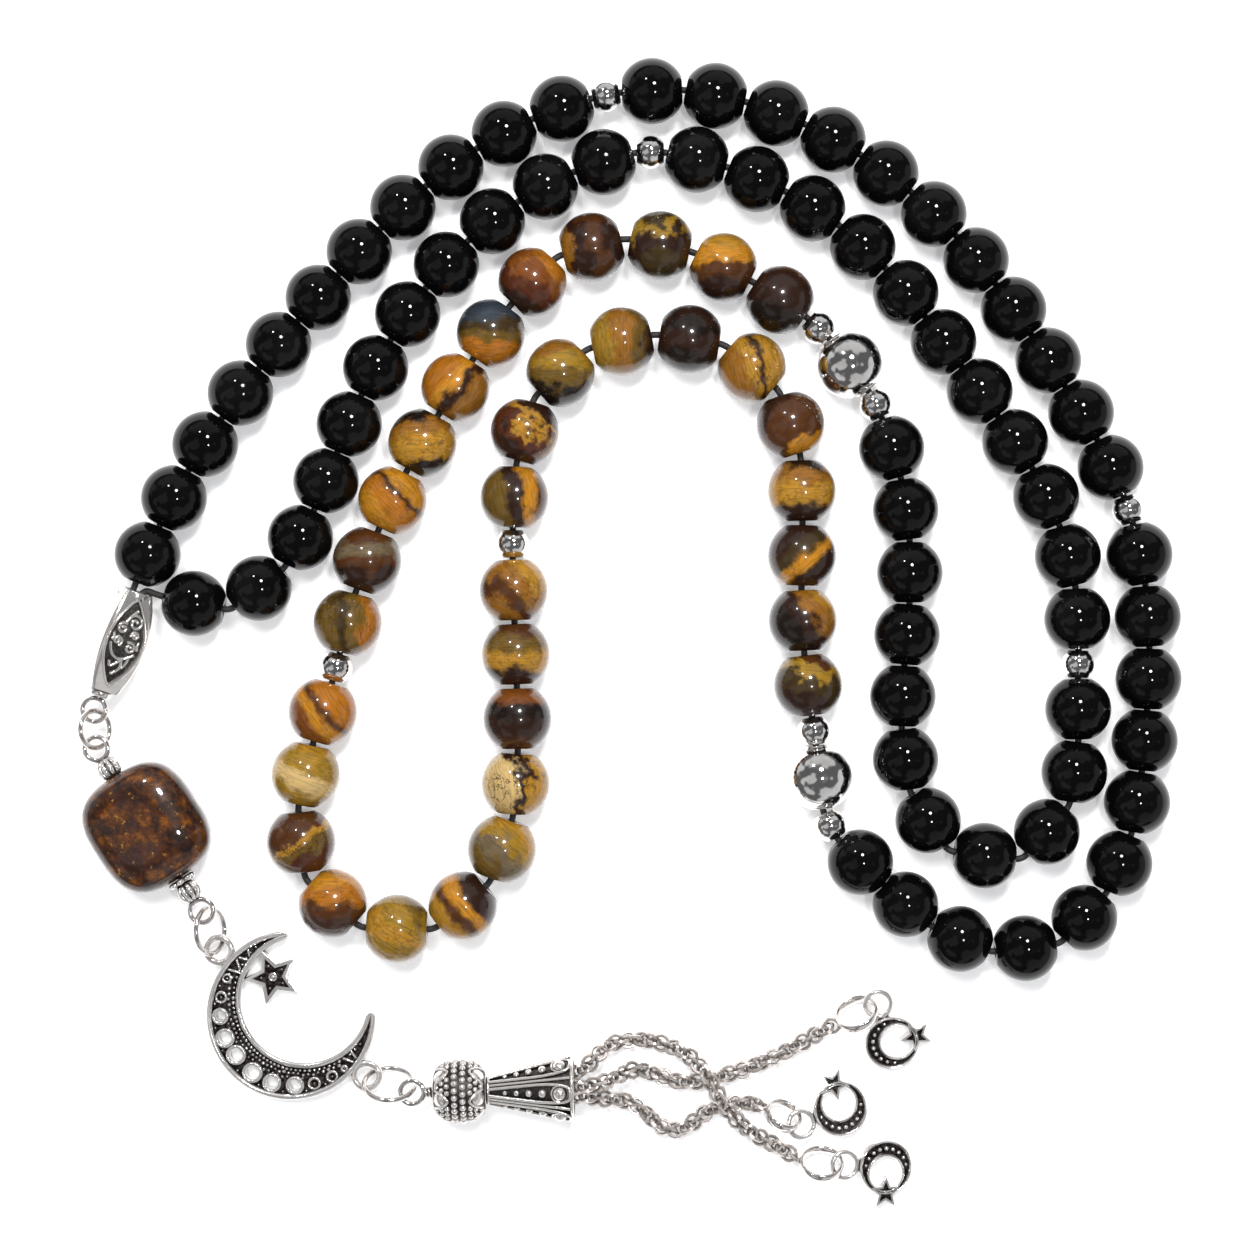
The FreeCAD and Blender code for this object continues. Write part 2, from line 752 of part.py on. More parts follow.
def crescent_pendant():
    offset_x = f"sizes.crescent_offset * cos({BOW_AT} deg)"
    offset_y = f"sizes.crescent_offset * sin({BOW_AT} deg)"
    plate = crescent_blank(
        "crescent_plate",
        "sizes.crescent_dia",
        "sizes.crescent_inner_dia",
        offset_x,
        offset_y,
        "sizes.crescent_height",
    )
    recess = crescent_blank(
        "crescent_recess_cut",
        "(sizes.crescent_dia - 2 * sizes.crescent_rim)",
        "(sizes.crescent_inner_dia + 2 * sizes.crescent_rim)",
        offset_x,
        offset_y,
        "sizes.crescent_height",
        "sizes.crescent_height - sizes.crescent_recess",
    )
    gap = bind(
        doc.addObject("Part::Box", "crescent_gap"),
        Length="sizes.crescent_dia",
        Width="sizes.crescent_dia",
        Height="sizes.crescent_height * 3",
        Placement__Base__z="-sizes.crescent_height",
    )
    gap.Placement = Placement(Vector(), Rotation(UP, GAP_TURN))
    tools = [recess, gap]
    hole_reach = "(sizes.crescent_dia / 2 - sizes.crescent_rim - 0.55 * sizes.crescent_hole_dia - 0.6)"
    for number in range(HOLE_COUNT):
        angle = HOLES_FROM + HOLES_STEP * number
        tools.append(
            cylinder(
                f"crescent_hole_{number + 1}",
                "sizes.crescent_hole_dia / 2",
                "sizes.crescent_height * 2",
                "-sizes.crescent_height / 2",
                f"{hole_reach} * cos({angle} deg)",
                f"{hole_reach} * sin({angle} deg)",
            )
        )
    cast_star = star("crescent_star", "sizes.star_dia", "sizes.star_height", STAR_TURN)
    grown = size("crescent_inner_dia") / DIMENSIONS_INNER
    cast_star.Placement = Placement(Vector(STAR_AT[0] * grown, STAR_AT[1] * grown, 0), Rotation())
    eyes = [
        cast_eye_ring(
            f"crescent_eye_{number}",
            "sizes.cast_eye_dia",
            "sizes.cast_eye_wire",
            CRESCENT_EYE_REACH,
            angle,
            "sizes.cast_eye_level",
        )
        for number, angle in ((1, UPPER_EYE_AT), (2, LOWER_EYE_AT))
    ]
    return fuse("crescent", cut("crescent_pierced", plate, *tools), cast_star, *eyes)


DIMENSIONS_INNER = 15.5
crescent_eye_reach = size("crescent_dia") / 2 + size("cast_eye_dia") / 2 - size("cast_eye_wire") / 2
crescent_turn = CRESCENT_TURN + tail_turn
crescent_centre = lift(fourth_eye, 0) - heading(UPPER_EYE_AT + crescent_turn) * crescent_eye_reach
place("crescent_pendant", crescent_pendant(), crescent_centre, UP, crescent_turn)
fifth_eye = crescent_centre + heading(LOWER_EYE_AT + crescent_turn) * crescent_eye_reach
fifth_eye = lift(fifth_eye, crescent_eye_level)

tassel_level = max(size("cone_mouth_dia"), size("round_bead_dia")) / 2
sixth_eye = link_between(
    "lower_link_ring", "lower_link_dia", fifth_eye, LOWER_LINK_HEADING, tassel_level, LOWER_LINK_ROLL
)

# tassel: pin, granulated round bead and the open cone that hides the pin's inner eye
tassel_along = tail_heading(TASSEL_HEADING)
bead_reach = eye_radius + size("wrap_length") + size("seat_gap")
cone_reach = bead_reach + size("round_bead_length") + size("seat_gap")
mouth_reach = cone_reach + size("cone_length")
INNER_EYE_BACK = 6.6
tassel_shank = (
    "(sizes.eye_dia / 2 + sizes.wrap_length + 2 * sizes.seat_gap + sizes.round_bead_length"
    " + sizes.cone_length"
    f" - {INNER_EYE_BACK})"
)
place(
    "tassel_pin",
    eyed_pin("tassel_wire", tassel_shank, end_eye=True, wrap=True),
    sixth_eye,
    tassel_along,
)
place(
    "tassel_round_bead",
    turned(
        "round_bead",
        [
            ("sizes.pin_dia / 2 + sizes.pin_fit", "-sizes.round_bead_length / 2"),
            ("sizes.round_bead_dia * 0.26", "-sizes.round_bead_length / 2"),
            ("sizes.round_bead_dia * 0.4", "-sizes.round_bead_length * 0.34"),
            ("sizes.round_bead_dia / 2", "-sizes.round_bead_length * 0.13"),
            ("sizes.round_bead_dia / 2", "sizes.round_bead_length * 0.13"),
            ("sizes.round_bead_dia * 0.4", "sizes.round_bead_length * 0.34"),
            ("sizes.round_bead_dia * 0.26", "sizes.round_bead_length / 2"),
            ("sizes.pin_dia / 2 + sizes.pin_fit", "sizes.round_bead_length / 2"),
        ],
    ),
    sixth_eye + tassel_along * (bead_reach + size("round_bead_length") / 2),
    tassel_along,
)
place(
    "tassel_cone",
    turned(
        "cone",
        [
            ("sizes.pin_dia / 2 + sizes.pin_fit", "0"),
            ("sizes.cone_neck_dia / 2", "0"),
            ("sizes.cone_mouth_dia / 2", "sizes.cone_length"),
            ("sizes.cone_mouth_dia / 2 - sizes.cone_wall", "sizes.cone_length"),
            ("sizes.cone_neck_dia / 2 - 0.3 * sizes.cone_wall", "sizes.cone_neck_depth"),
            ("sizes.pin_dia / 2 + sizes.pin_fit", "sizes.cone_neck_depth"),
        ],
    ),
    sixth_eye + tassel_along * cone_reach,
    tassel_along,
)
cone_mouth = sixth_eye + tassel_along * mouth_reach

# ---------------------------------------------------------------- chains, band rings and charms
# routes from the middle of the cone's mouth: forward, to the left and above the floor;
# inside the cone the level is counted from the cone's own axis
CHAIN_ROUTES = {
    "tassel_chain_1": [
        (3.3, 4.3, 2.2), (6.2, 5.3, 1.1), (9.9, 5.0, 1.1), (13.3, 3.8, 2.4), (15.7, 1.9, 4.0),
        (18.5, -3.6, 4.0), (21.3, -6.5, 1.9), (24.4, -8.2, 1.2), (26.6, -9.6, 1.9),
    ],
    "tassel_chain_2": [
        (4.3, 0.6, 4.2), (7.4, 1.9, 1.7), (10.4, 0.6, 1.1), (13.5, -0.4, 1.1), (16.9, 0.2, 1.1),
        (20.2, 1.0, 1.1), (24.2, 2.4, 1.1), (28.2, 4.4, 1.2), (31.6, 6.4, 1.9),
    ],
    "tassel_chain_3": [
        (3.4, -1.9, 1.9), (6.3, -2.2, 1.1), (8.5, -3.6, 1.1), (10.4, -5.9, 1.1), (13.3, -6.1, 1.1),
        (15.6, -4.0, 1.1), (18.6, -2.9, 1.1), (20.9, -2.9, 1.2), (22.6, -3.2, 1.7),
    ],
}
CHAIN_STARTS = {
    "tassel_chain_1": (1.16, -0.67),
    "tassel_chain_2": (0.0, 1.34),
    "tassel_chain_3": (-1.16, -0.67),
}
CHAIN_START_BACK = 4.2
CHAIN_STRAIGHT = 0.8

tassel_left = UP.cross(tassel_along)


def from_mouth(forward, left, level):
    return lift(cone_mouth + tassel_along * forward + tassel_left * left, level)


chain_lengths = {}
chain_ends = {}
for node, (left, rise) in CHAIN_STARTS.items():
    points = [
        from_mouth(-CHAIN_START_BACK, left, tassel_level + rise),
        from_mouth(CHAIN_STRAIGHT, left, tassel_level + rise),
    ]
    points += [from_mouth(*point) for point in CHAIN_ROUTES[node]]
    chain_lengths[node] = cord_tube(node, points, size("chain_dia"))
    chain_ends[node] = (points[-1], (points[-1] - points[-2]).normalize())

# number: (chain, ring size, heading of the ring, heading of the charm, turned over)
CHARMS = {
    1: ("tassel_chain_1", "band_dia", -4.0, -3.0, True),
    2: ("tassel_chain_2", "band_dia", 24.0, -75.0, False),
    3: ("tassel_chain_3", "small_band_dia", -27.0, 15.0, False),
}
BAND_ROLL = 55.0
CHAIN_TO_BAND = 0.9
CHARM_EYE_SLACK = 0.3
CHARM_EYE_AT = 180.0
CHARM_STAR_AT = 86.0
CHARM_LEAN = 12.5


def band_ring(name, dia):
    outer = cylinder(name + "_outer", f"{dia} / 2", "sizes.band_width", "-sizes.band_width / 2")
    inner = cylinder(
        name + "_inner", f"{dia} / 2 - sizes.band_wall", "sizes.band_width * 2", "-sizes.band_width"
    )
    return cut(name, outer, inner)


def charm(name):
    """A small crescent closed by a star; its eye is at the origin and it lies along X."""
    offset_x = f"sizes.charm_offset * cos({CHARM_STAR_AT} deg)"
    offset_y = f"sizes.charm_offset * sin({CHARM_STAR_AT} deg)"
    level = "-sizes.charm_height / 2"
    plate = crescent_blank(
        name + "_plate",
        "sizes.charm_dia",
        "sizes.charm_inner_dia",
        offset_x,
        offset_y,
        "sizes.charm_height",
        level,
    )
    cast_star = star(name + "_star", "sizes.charm_star_dia", "sizes.charm_height", CHARM_STAR_AT)
    star_reach = (size("charm_dia") + size("charm_inner_dia")) / 4 + size("charm_offset") / 2
    cast_star.Placement = Placement(
        heading(CHARM_STAR_AT) * star_reach - UP * size("charm_height") / 2, Rotation()
    )
    eye = cast_eye_ring(
        name + "_eye",
        "sizes.charm_eye_dia",
        "sizes.charm_eye_wire",
        "sizes.charm_eye_reach",
        CHARM_EYE_AT,
        "0",
    )
    stem = bind(
        doc.addObject("Part::Box", name + "_stem"),
        Length="sizes.charm_eye_reach - sizes.charm_dia / 2 - sizes.charm_eye_dia / 2 + sizes.band_wall * 2",
        Width="sizes.charm_eye_wire * 1.6",
        Height="sizes.charm_eye_wire",
        Placement__Base__x="-sizes.charm_eye_reach + sizes.charm_eye_dia / 2 - sizes.band_wall",
        Placement__Base__y="-sizes.charm_eye_wire * 0.8",
        Placement__Base__z="-sizes.charm_eye_wire / 2",
    )
    return fuse(name, plate, cast_star, eye, stem)


end_rings = {}
charm_eyes = {}
for number, (chain, dia_alias, ring_angle, charm_angle, turned_over) in CHARMS.items():
    dia = size(dia_alias)
    end, way = chain_ends[chain]
    along = heading(ring_angle + tail_turn + TASSEL_HEADING)
    side = UP.cross(along)
    roll = math.radians(BAND_ROLL)
    level = dia / 2 * math.sin(roll) + size("band_width") / 2 * math.cos(roll) + size("seat_gap")
    near_wall = lift(end + lift(way, 0).normalize() * CHAIN_TO_BAND, level)
    centre = near_wall + along * (dia - size("band_wall")) / 2
    normal = UP * math.cos(roll) + side * math.sin(roll)
    node = f"chain_end_ring_{number}"
    place(node, band_ring(node, f"sizes.{dia_alias}"), centre, normal)
    end_rings[node] = near_wall

    far_wall = centre + along * (dia - size("band_wall")) / 2
    eye = far_wall + along * CHARM_EYE_SLACK
    lean = math.radians(CHARM_LEAN if dia_alias == "band_dia" else CHARM_LEAN * 0.8)
    charm_along = heading(charm_angle + tail_turn + TASSEL_HEADING)
    charm_side = UP.cross(charm_along)
    x_axis = charm_along * math.cos(lean) - UP * math.sin(lean)
    y_axis = -charm_side if turned_over else charm_side
    z_axis = x_axis.cross(y_axis)
    made = charm(f"charm_{number}")
    made.Placement = Placement(
        eye + x_axis * size("charm_eye_reach"), Rotation(x_axis, y_axis, z_axis, "ZXY")
    )
    made.Label = f"star_charm_{number}"
    pieces[made.Label] = made
    charm_eyes[made.Label] = (eye, z_axis if z_axis.z > 0 else -z_axis)

# ---------------------------------------------------------------- origin, checks and export
doc.recompute()
CORD_NODES = [
    node
    for node in pieces
    if node.startswith(("tassel_chain", "chain_end_ring", "star_charm"))
]
footprint = FreeCAD.BoundBox()
for node, piece in pieces.items():
    if node not in CORD_NODES:
        footprint.add(piece.Shape.BoundBox)
origin_shift = Vector(-footprint.Center.x, -footprint.Center.y, 0)
for piece in pieces.values():
    piece.Placement = Placement(origin_shift, Rotation()).multiply(piece.Placement)
doc.recompute()

for item in doc.Objects:
    if "Invalid" in item.State or "Error" in item.State:
        raise RuntimeError(f"{item.Name} failed: {item.State}")
for node, piece in pieces.items():
    if piece.Shape.isNull() or not piece.Shape.isValid() or not piece.Shape.Solids:
        raise RuntimeError(f"{node} has no valid solid")

os.makedirs("parts", exist_ok=True)
for node, piece in pieces.items():
    piece.Shape.exportStep(f"parts/{node}.step")
print(f"{len(pieces)} nodes, string {string_length:.1f} mm, shift {origin_shift}")
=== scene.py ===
import json
import math
import random

import bmesh
import bpy
from mathutils import Matrix, Vector


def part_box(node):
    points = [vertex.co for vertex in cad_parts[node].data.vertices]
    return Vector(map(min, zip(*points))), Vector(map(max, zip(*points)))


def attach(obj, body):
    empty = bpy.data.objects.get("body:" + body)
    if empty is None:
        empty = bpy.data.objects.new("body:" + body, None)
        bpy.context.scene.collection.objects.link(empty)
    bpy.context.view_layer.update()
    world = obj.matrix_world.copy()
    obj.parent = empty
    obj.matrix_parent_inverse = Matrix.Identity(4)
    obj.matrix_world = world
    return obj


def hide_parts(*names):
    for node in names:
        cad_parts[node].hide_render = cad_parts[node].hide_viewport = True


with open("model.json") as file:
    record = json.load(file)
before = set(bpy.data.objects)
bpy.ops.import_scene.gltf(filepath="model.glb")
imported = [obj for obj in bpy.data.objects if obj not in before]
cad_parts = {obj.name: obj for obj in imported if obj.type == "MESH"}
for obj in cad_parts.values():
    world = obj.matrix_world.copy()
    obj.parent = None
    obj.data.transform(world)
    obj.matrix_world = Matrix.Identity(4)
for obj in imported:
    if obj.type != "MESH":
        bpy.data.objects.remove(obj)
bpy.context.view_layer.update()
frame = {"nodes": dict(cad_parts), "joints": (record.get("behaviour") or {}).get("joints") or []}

# ---------------------------------------------------------------- camera, floor and light
# A plain pale table under soft studio light, seen from straight above. Three small
# round lamps beside the camera give each polished bead its three points of light.
camera_data = bpy.data.cameras.new("camera")
camera_data.lens = 85
camera_data.sensor_width = 36
camera = bpy.data.objects.new("camera", camera_data)
camera.location = (-0.0001, -0.00435, 0.363)
bpy.context.scene.collection.objects.link(camera)
bpy.context.scene.camera = camera
bpy.context.scene.view_settings.view_transform = "Standard"


def new_look(name, base, roughness, metallic=0.0, coat=0.0, coat_roughness=0.03):
    """A material with its values on the shader; returns it with its nodes, its links and the shader."""
    look = bpy.data.materials.new(name)
    look.use_nodes = True
    nodes, links = look.node_tree.nodes, look.node_tree.links
    shader = nodes["Principled BSDF"]
    shader.inputs["Base Color"].default_value = (*base, 1)
    shader.inputs["Roughness"].default_value = roughness
    shader.inputs["Metallic"].default_value = metallic
    shader.inputs["Coat Weight"].default_value = coat
    shader.inputs["Coat Roughness"].default_value = coat_roughness
    return look, nodes, links, shader


def noise_of(nodes, links, vector, scale, detail=3.0, roughness=0.5):
    noise = nodes.new("ShaderNodeTexNoise")
    noise.inputs["Scale"].default_value = scale
    noise.inputs["Detail"].default_value = detail
    noise.inputs["Roughness"].default_value = roughness
    links.new(vector, noise.inputs["Vector"])
    return noise.outputs["Fac"]


def sum_of(nodes, links, operation, first, second=None, third=None, clamp=False):
    """A Math node; each value is a socket or a number."""
    node = nodes.new("ShaderNodeMath")
    node.operation = operation
    node.use_clamp = clamp
    for socket, value in zip(node.inputs, (first, second, third)):
        if value is None:
            continue
        if isinstance(value, (int, float)):
            socket.default_value = value
        else:
            links.new(value, socket)
    return node.outputs[0]


def spread(nodes, links, value, low, high, to_low=0.0, to_high=1.0):
    node = nodes.new("ShaderNodeMapRange")
    node.interpolation_type = "SMOOTHSTEP"
    for name, number in (("From Min", low), ("From Max", high), ("To Min", to_low), ("To Max", to_high)):
        node.inputs[name].default_value = number
    links.new(value, node.inputs["Value"])
    return node.outputs["Result"]


def mixed(nodes, links, factor, first, second, blend="MIX"):
    """Mixes two colours; each is a socket or three numbers."""
    node = nodes.new("ShaderNodeMix")
    node.data_type = "RGBA"
    node.blend_type = blend
    if isinstance(factor, (int, float)):
        node.inputs[0].default_value = factor
    else:
        links.new(factor, node.inputs[0])
    for socket, value in ((node.inputs[6], first), (node.inputs[7], second)):
        if isinstance(value, tuple):
            socket.default_value = (*value, 1)
        else:
            links.new(value, socket)
    return node.outputs[2]


def bumped(nodes, links, shader, height, strength, distance):
    bump = nodes.new("ShaderNodeBump")
    bump.inputs["Strength"].default_value = strength
    bump.inputs["Distance"].default_value = distance
    links.new(height, bump.inputs["Height"])
    links.new(bump.outputs["Normal"], shader.inputs["Normal"])


def object_place(nodes):
    return nodes.new("ShaderNodeTexCoord").outputs["Object"]


floor_look, nodes, links, shader = new_look("table_top", (0.92, 0.92, 0.925), 0.75)
shader.inputs["Specular IOR Level"].default_value = 0.2
shader.inputs["Emission Color"].default_value = (0.98, 0.985, 1.0, 1)
shader.inputs["Emission Strength"].default_value = 0.30
floor_mesh = bpy.data.meshes.new("table")
bm = bmesh.new()
bmesh.ops.create_grid(bm, x_segments=1, y_segments=1, size=1.2)
bm.to_mesh(floor_mesh)
bm.free()
floor_mesh.materials.append(floor_look)
floor = bpy.data.objects.new("table", floor_mesh)
bpy.context.scene.collection.objects.link(floor)

world = bpy.data.worlds.new("room")
bpy.context.scene.world = world
world.use_nodes = True
nodes, links = world.node_tree.nodes, world.node_tree.links
# bright walls with dark patches among them, so that silver has an edge to show
height = nodes.new("ShaderNodeSeparateXYZ")
links.new(nodes.new("ShaderNodeTexCoord").outputs["Generated"], height.inputs[0])
upwards = spread(nodes, links, height.outputs["Z"], 0.15, 0.85)
walls = mixed(nodes, links, upwards, (0.88, 0.89, 0.91), (0.72, 0.73, 0.74))
patches = noise_of(nodes, links, nodes["Texture Coordinate"].outputs["Generated"], 1.7, 1)
walls = mixed(nodes, links, spread(nodes, links, patches, 0.44, 0.56), (0.16, 0.16, 0.17), walls)
links.new(walls, nodes["Background"].inputs["Color"])
nodes["Background"].inputs["Strength"].default_value = 0.72


def lamp(name, place, size, power, in_reflections=True):
    data = bpy.data.lights.new(name, "AREA")
    data.shape = "DISK"
    data.size = size
    data.energy = power
    made = bpy.data.objects.new(name, data)
    made.location = place
    made.rotation_mode = "QUATERNION"
    made.rotation_quaternion = Vector(place).to_track_quat("Z", "Y")
    made.visible_glossy = in_reflections
    bpy.context.scene.collection.objects.link(made)


lamp("soft_overhead", (-0.12, 0.20, 0.60), 0.22, 2.9, in_reflections=False)
lamp("soft_front", (0.05, -0.30, 0.60), 0.6, 0.7, in_reflections=False)
for name, place, size, power in (
    ("point_left", (-0.135, 0.29, 0.33), 0.038, 0.36),
    ("point_middle", (0.055, 0.17, 0.36), 0.066, 0.95),
    ("point_right", (0.085, -0.035, 0.40), 0.036, 0.30),
):
    lamp(name, place, size, power)

# ---------------------------------------------------------------- tassel chains
# Three thin chains of warm silver links, gathered on the pin's hidden eye inside the cone.
# Round soldered links, each turned a little from the last, end on a wide band ring.
MM = 0.001
joints = {joint["name"]: joint for joint in frame["joints"]}


def joint_at(name):
    return Vector(joints[name]["pos_m"])


def joint_along(name):
    return Vector(joints[name]["axis"]).normalized()


def standing(origin, z_axis, roll=0.0):
    """Millimetres into the frame: Z along z_axis and Y as upright as it can be, then rolled."""
    z_axis = Vector(z_axis).normalized()
    up = Vector((0, 0, 1))
    y_axis = Vector((0, 1, 0)) if abs(z_axis.z) > 0.999 else (up - z_axis * z_axis.z).normalized()
    turn = Matrix((y_axis.cross(z_axis), y_axis, z_axis)).transposed().to_4x4()
    rolled = Matrix.Rotation(math.radians(roll), 4, "Z")
    return Matrix.Translation(origin) @ turn @ rolled @ Matrix.Scale(MM, 4)


def new_bmesh():
    bm = bmesh.new()
    bm.verts.layers.float.new("tarnish")
    return bm


def as_mesh(bm, name="shape"):
    mesh = bpy.data.meshes.new(name)
    bmesh.ops.recalc_face_normals(bm, faces=bm.faces)
    bm.to_mesh(mesh)
    bm.free()
    return mesh


def turned(profile, steps=40):
    """A closed shape turned about Z from (radius, height) points in millimetres."""
    bm = bmesh.new()
    points = [bm.verts.new((radius, 0, height)) for radius, height in profile]
    edges = [bm.edges.new(pair) for pair in zip(points, points[1:] + points[:1])]
    bmesh.ops.spin(
        bm,
        geom=points + edges,
        cent=(0, 0, 0),
        axis=(0, 0, 1),
        angle=math.tau,
        steps=steps,
        use_merge=True,
    )
    bmesh.ops.remove_doubles(bm, verts=bm.verts, dist=1e-4)
    bmesh.ops.dissolve_degenerate(bm, edges=bm.edges, dist=1e-5)
    return as_mesh(bm)


def arc(radius, height, reach, start, end, steps):
    """Points of a round arc in a turned profile; angles in degrees from the outward direction."""
    turns = [math.radians(start + (end - start) * step / steps) for step in range(steps + 1)]
    return [(radius + reach * math.cos(turn), height + reach * math.sin(turn)) for turn in turns]


def wire_ring(dia, wire, steps=32, sides=12):
    """A ring of round wire about Z; dia is over the outside."""
    return turned(arc((dia - wire) / 2, 0, wire / 2, 0, 360 - 360 / sides, sides - 1), steps)


def small_ball(radius, detail=2):
    bm = bmesh.new()
    bmesh.ops.create_icosphere(bm, subdivisions=detail, radius=radius)
    return as_mesh(bm)


def add_shape(bm, shape, matrix, tarnish=0.0, look=0):
    """Adds a copy of the shape; tarnish of None keeps its own."""
    copy = shape.copy()
    copy.transform(matrix)
    first_point, first_face = len(bm.verts), len(bm.faces)
    bm.from_mesh(copy)
    bpy.data.meshes.remove(copy)
    bm.verts.ensure_lookup_table()
    bm.faces.ensure_lookup_table()
    layer = bm.verts.layers.float["tarnish"]
    if tarnish is not None:
        for point in bm.verts[first_point:]:
            point[layer] = tarnish
    for face in bm.faces[first_face:]:
        face.material_index = look


def new_piece(name, bm, looks, body, slot, *nodes, sharp=38):
    mesh = as_mesh(bm, name)
    mesh.polygons.foreach_set("use_smooth", [True] * len(mesh.polygons))
    mesh.set_sharp_from_angle(angle=math.radians(sharp))
    for look in looks:
        mesh.materials.append(look)
    made = bpy.data.objects.new(name, mesh)
    bpy.context.scene.collection.objects.link(made)
    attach(made, body)
    if nodes:
        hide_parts(*nodes)
    return made


def smooth_line(points, detail=12):
    """Points along the smooth curve drawn through the route's corners."""
    curve = bpy.data.curves.new("route", "CURVE")
    curve.dimensions = "3D"
    curve.resolution_u = detail
    spline = curve.splines.new("NURBS")
    spline.points.add(len(points) - 1)
    for knot, point in zip(spline.points, points):
        knot.co = (*point, 1)
    spline.order_u = 3
    spline.use_endpoint_u = True
    holder = bpy.data.objects.new("route", curve)
    mesh = bpy.data.meshes.new_from_object(holder)
    line = [point.co.copy() for point in mesh.vertices]
    bpy.data.objects.remove(holder)
    bpy.data.curves.remove(curve)
    bpy.data.meshes.remove(mesh)
    return line


def even_steps(line, pitch):
    """(place, direction) every pitch along a line."""
    places, done, wanted = [], 0.0, 0.0
    for start, end in zip(line, line[1:]):
        span = (end - start).length
        while wanted <= done + span and span > 0:
            places.append((start.lerp(end, (wanted - done) / span), (end - start).normalized()))
            wanted += pitch
        done += span
    return places


def aged_silver(name, bright, dark, roughness, depth, age=1.0, metal=0.80):
    """Silver with black oxide left in its hollows and faint handling marks on what is proud."""
    look, nodes, links, shader = new_look(name, bright, roughness, metallic=metal)
    place = object_place(nodes)
    hollow = nodes.new("ShaderNodeAmbientOcclusion")
    hollow.inputs["Distance"].default_value = depth
    hollow.samples = 8
    shade = spread(nodes, links, hollow.outputs["AO"], 0.35, 0.82, 1.0, 0.0)
    worn = nodes.new("ShaderNodeAttribute")
    worn.attribute_name = "tarnish"
    patch = noise_of(nodes, links, place, 2600, 4)
    uneven = spread(nodes, links, patch, 0.30, 0.6, 0.90, 1.0)
    oxide = sum_of(nodes, links, "MULTIPLY", shade, age)
    oxide = sum_of(nodes, links, "MAXIMUM", oxide, worn.outputs["Fac"])
    oxide = sum_of(nodes, links, "MULTIPLY", oxide, uneven, clamp=True)
    freckle = noise_of(nodes, links, place, 900, 5, 0.65)
    dull = tuple(value * 0.84 for value in bright)
    tone = mixed(nodes, links, spread(nodes, links, freckle, 0.3, 0.75), bright, dull)
    links.new(mixed(nodes, links, oxide, tone, dark), shader.inputs["Base Color"])
    rough = spread(nodes, links, freckle, 0.3, 0.8, roughness, roughness * 1.7)
    rough = sum_of(nodes, links, "MULTIPLY_ADD", oxide, 0.35, rough, clamp=True)
    links.new(rough, shader.inputs["Roughness"])
    links.new(spread(nodes, links, oxide, 0.0, 1.0, metal, 1.0), shader.inputs["Metallic"])
    bumped(nodes, links, shader, noise_of(nodes, links, place, 1900, 4), 0.25, 0.00004)
    return look


chain_look = aged_silver("chain_links", (0.66, 0.60, 0.56), (0.05, 0.038, 0.034), 0.22, 0.0009)
chain_axis = joint_along("tassel_cone_spin")
chain_left = Vector((0, 0, 1)).cross(chain_axis)


def box_middle(node):
    low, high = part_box(node)
    return (low + high) / 2


cone_middle = box_middle("tassel_cone")
CONE_LENGTH = 10.6
CONE_MOUTH = 8.3
cone_mouth = cone_middle + chain_axis * (CONE_LENGTH / 2 * MM)
cone_mouth.z = 0

LINK_PITCH = 0.00082
LINK_TURN = 74
LINK_LEAN = 27
link_shape = wire_ring(2.35, 0.46, steps=12, sides=6)
# chain: its real length in metres, then how far left and above the cone's axis it starts,
# then its corners forward, left and above the table from the cone's mouth
CHAINS = {
    1: (
        0.0405,
        (0.00116, -0.00067),
        [
            (0.0033, 0.0043, 0.0022), (0.0062, 0.0053, 0.00125), (0.0099, 0.0050, 0.00125),
            (0.0133, 0.0038, 0.0025), (0.0157, 0.0019, 0.0041), (0.0185, -0.0036, 0.0041),
            (0.0213, -0.0065, 0.0019), (0.0244, -0.0082, 0.0013), (0.0266, -0.0096, 0.0019),
        ],
    ),
    2: (
        0.0395,
        (0.0, 0.00134),
        [
            (0.0043, 0.0006, 0.0042), (0.0074, 0.0019, 0.0018), (0.0104, 0.0006, 0.00125),
            (0.0135, -0.0004, 0.00125), (0.0169, 0.0002, 0.00125), (0.0202, 0.0010, 0.00125),
            (0.0242, 0.0024, 0.00125), (0.0282, 0.0044, 0.0013), (0.0316, 0.0064, 0.0019),
        ],
    ),
    3: (
        0.0303,
        (-0.00116, -0.00067),
        [
            (0.0034, -0.0019, 0.0019), (0.0063, -0.0022, 0.00125), (0.0085, -0.0036, 0.00125),
            (0.0104, -0.0059, 0.00125), (0.0133, -0.0061, 0.00125), (0.0156, -0.0040, 0.00125),
            (0.0186, -0.0029, 0.00125), (0.0209, -0.0029, 0.0013), (0.0226, -0.0032, 0.0017),
        ],
    ),
}
for number, (length, (left, rise), corners) in CHAINS.items():
    corners = [(-0.0042, left, cone_middle.z + rise), (0.0008, left, cone_middle.z + rise)] + corners
    route = [cone_mouth + chain_axis * x + chain_left * y + Vector((0, 0, z)) for x, y, z in corners]
    route.append(joint_at(f"chain_end_ring_{number}_swing"))
    line = smooth_line(route)
    bm = new_bmesh()
    across = Matrix.Rotation(math.radians(90), 4, "Y")
    for index, (place, along) in enumerate(even_steps(line, LINK_PITCH)[:-1]):
        lean = Matrix.Rotation(math.radians(LINK_LEAN if index % 2 else -LINK_LEAN), 4, "X")
        add_shape(bm, link_shape, standing(place, along, 47 + index * LINK_TURN) @ lean @ across)
    node = f"tassel_chain_{number}"
    made = new_piece(f"{node}_links", bm, [chain_look], "tassel", "chain_steel", node)

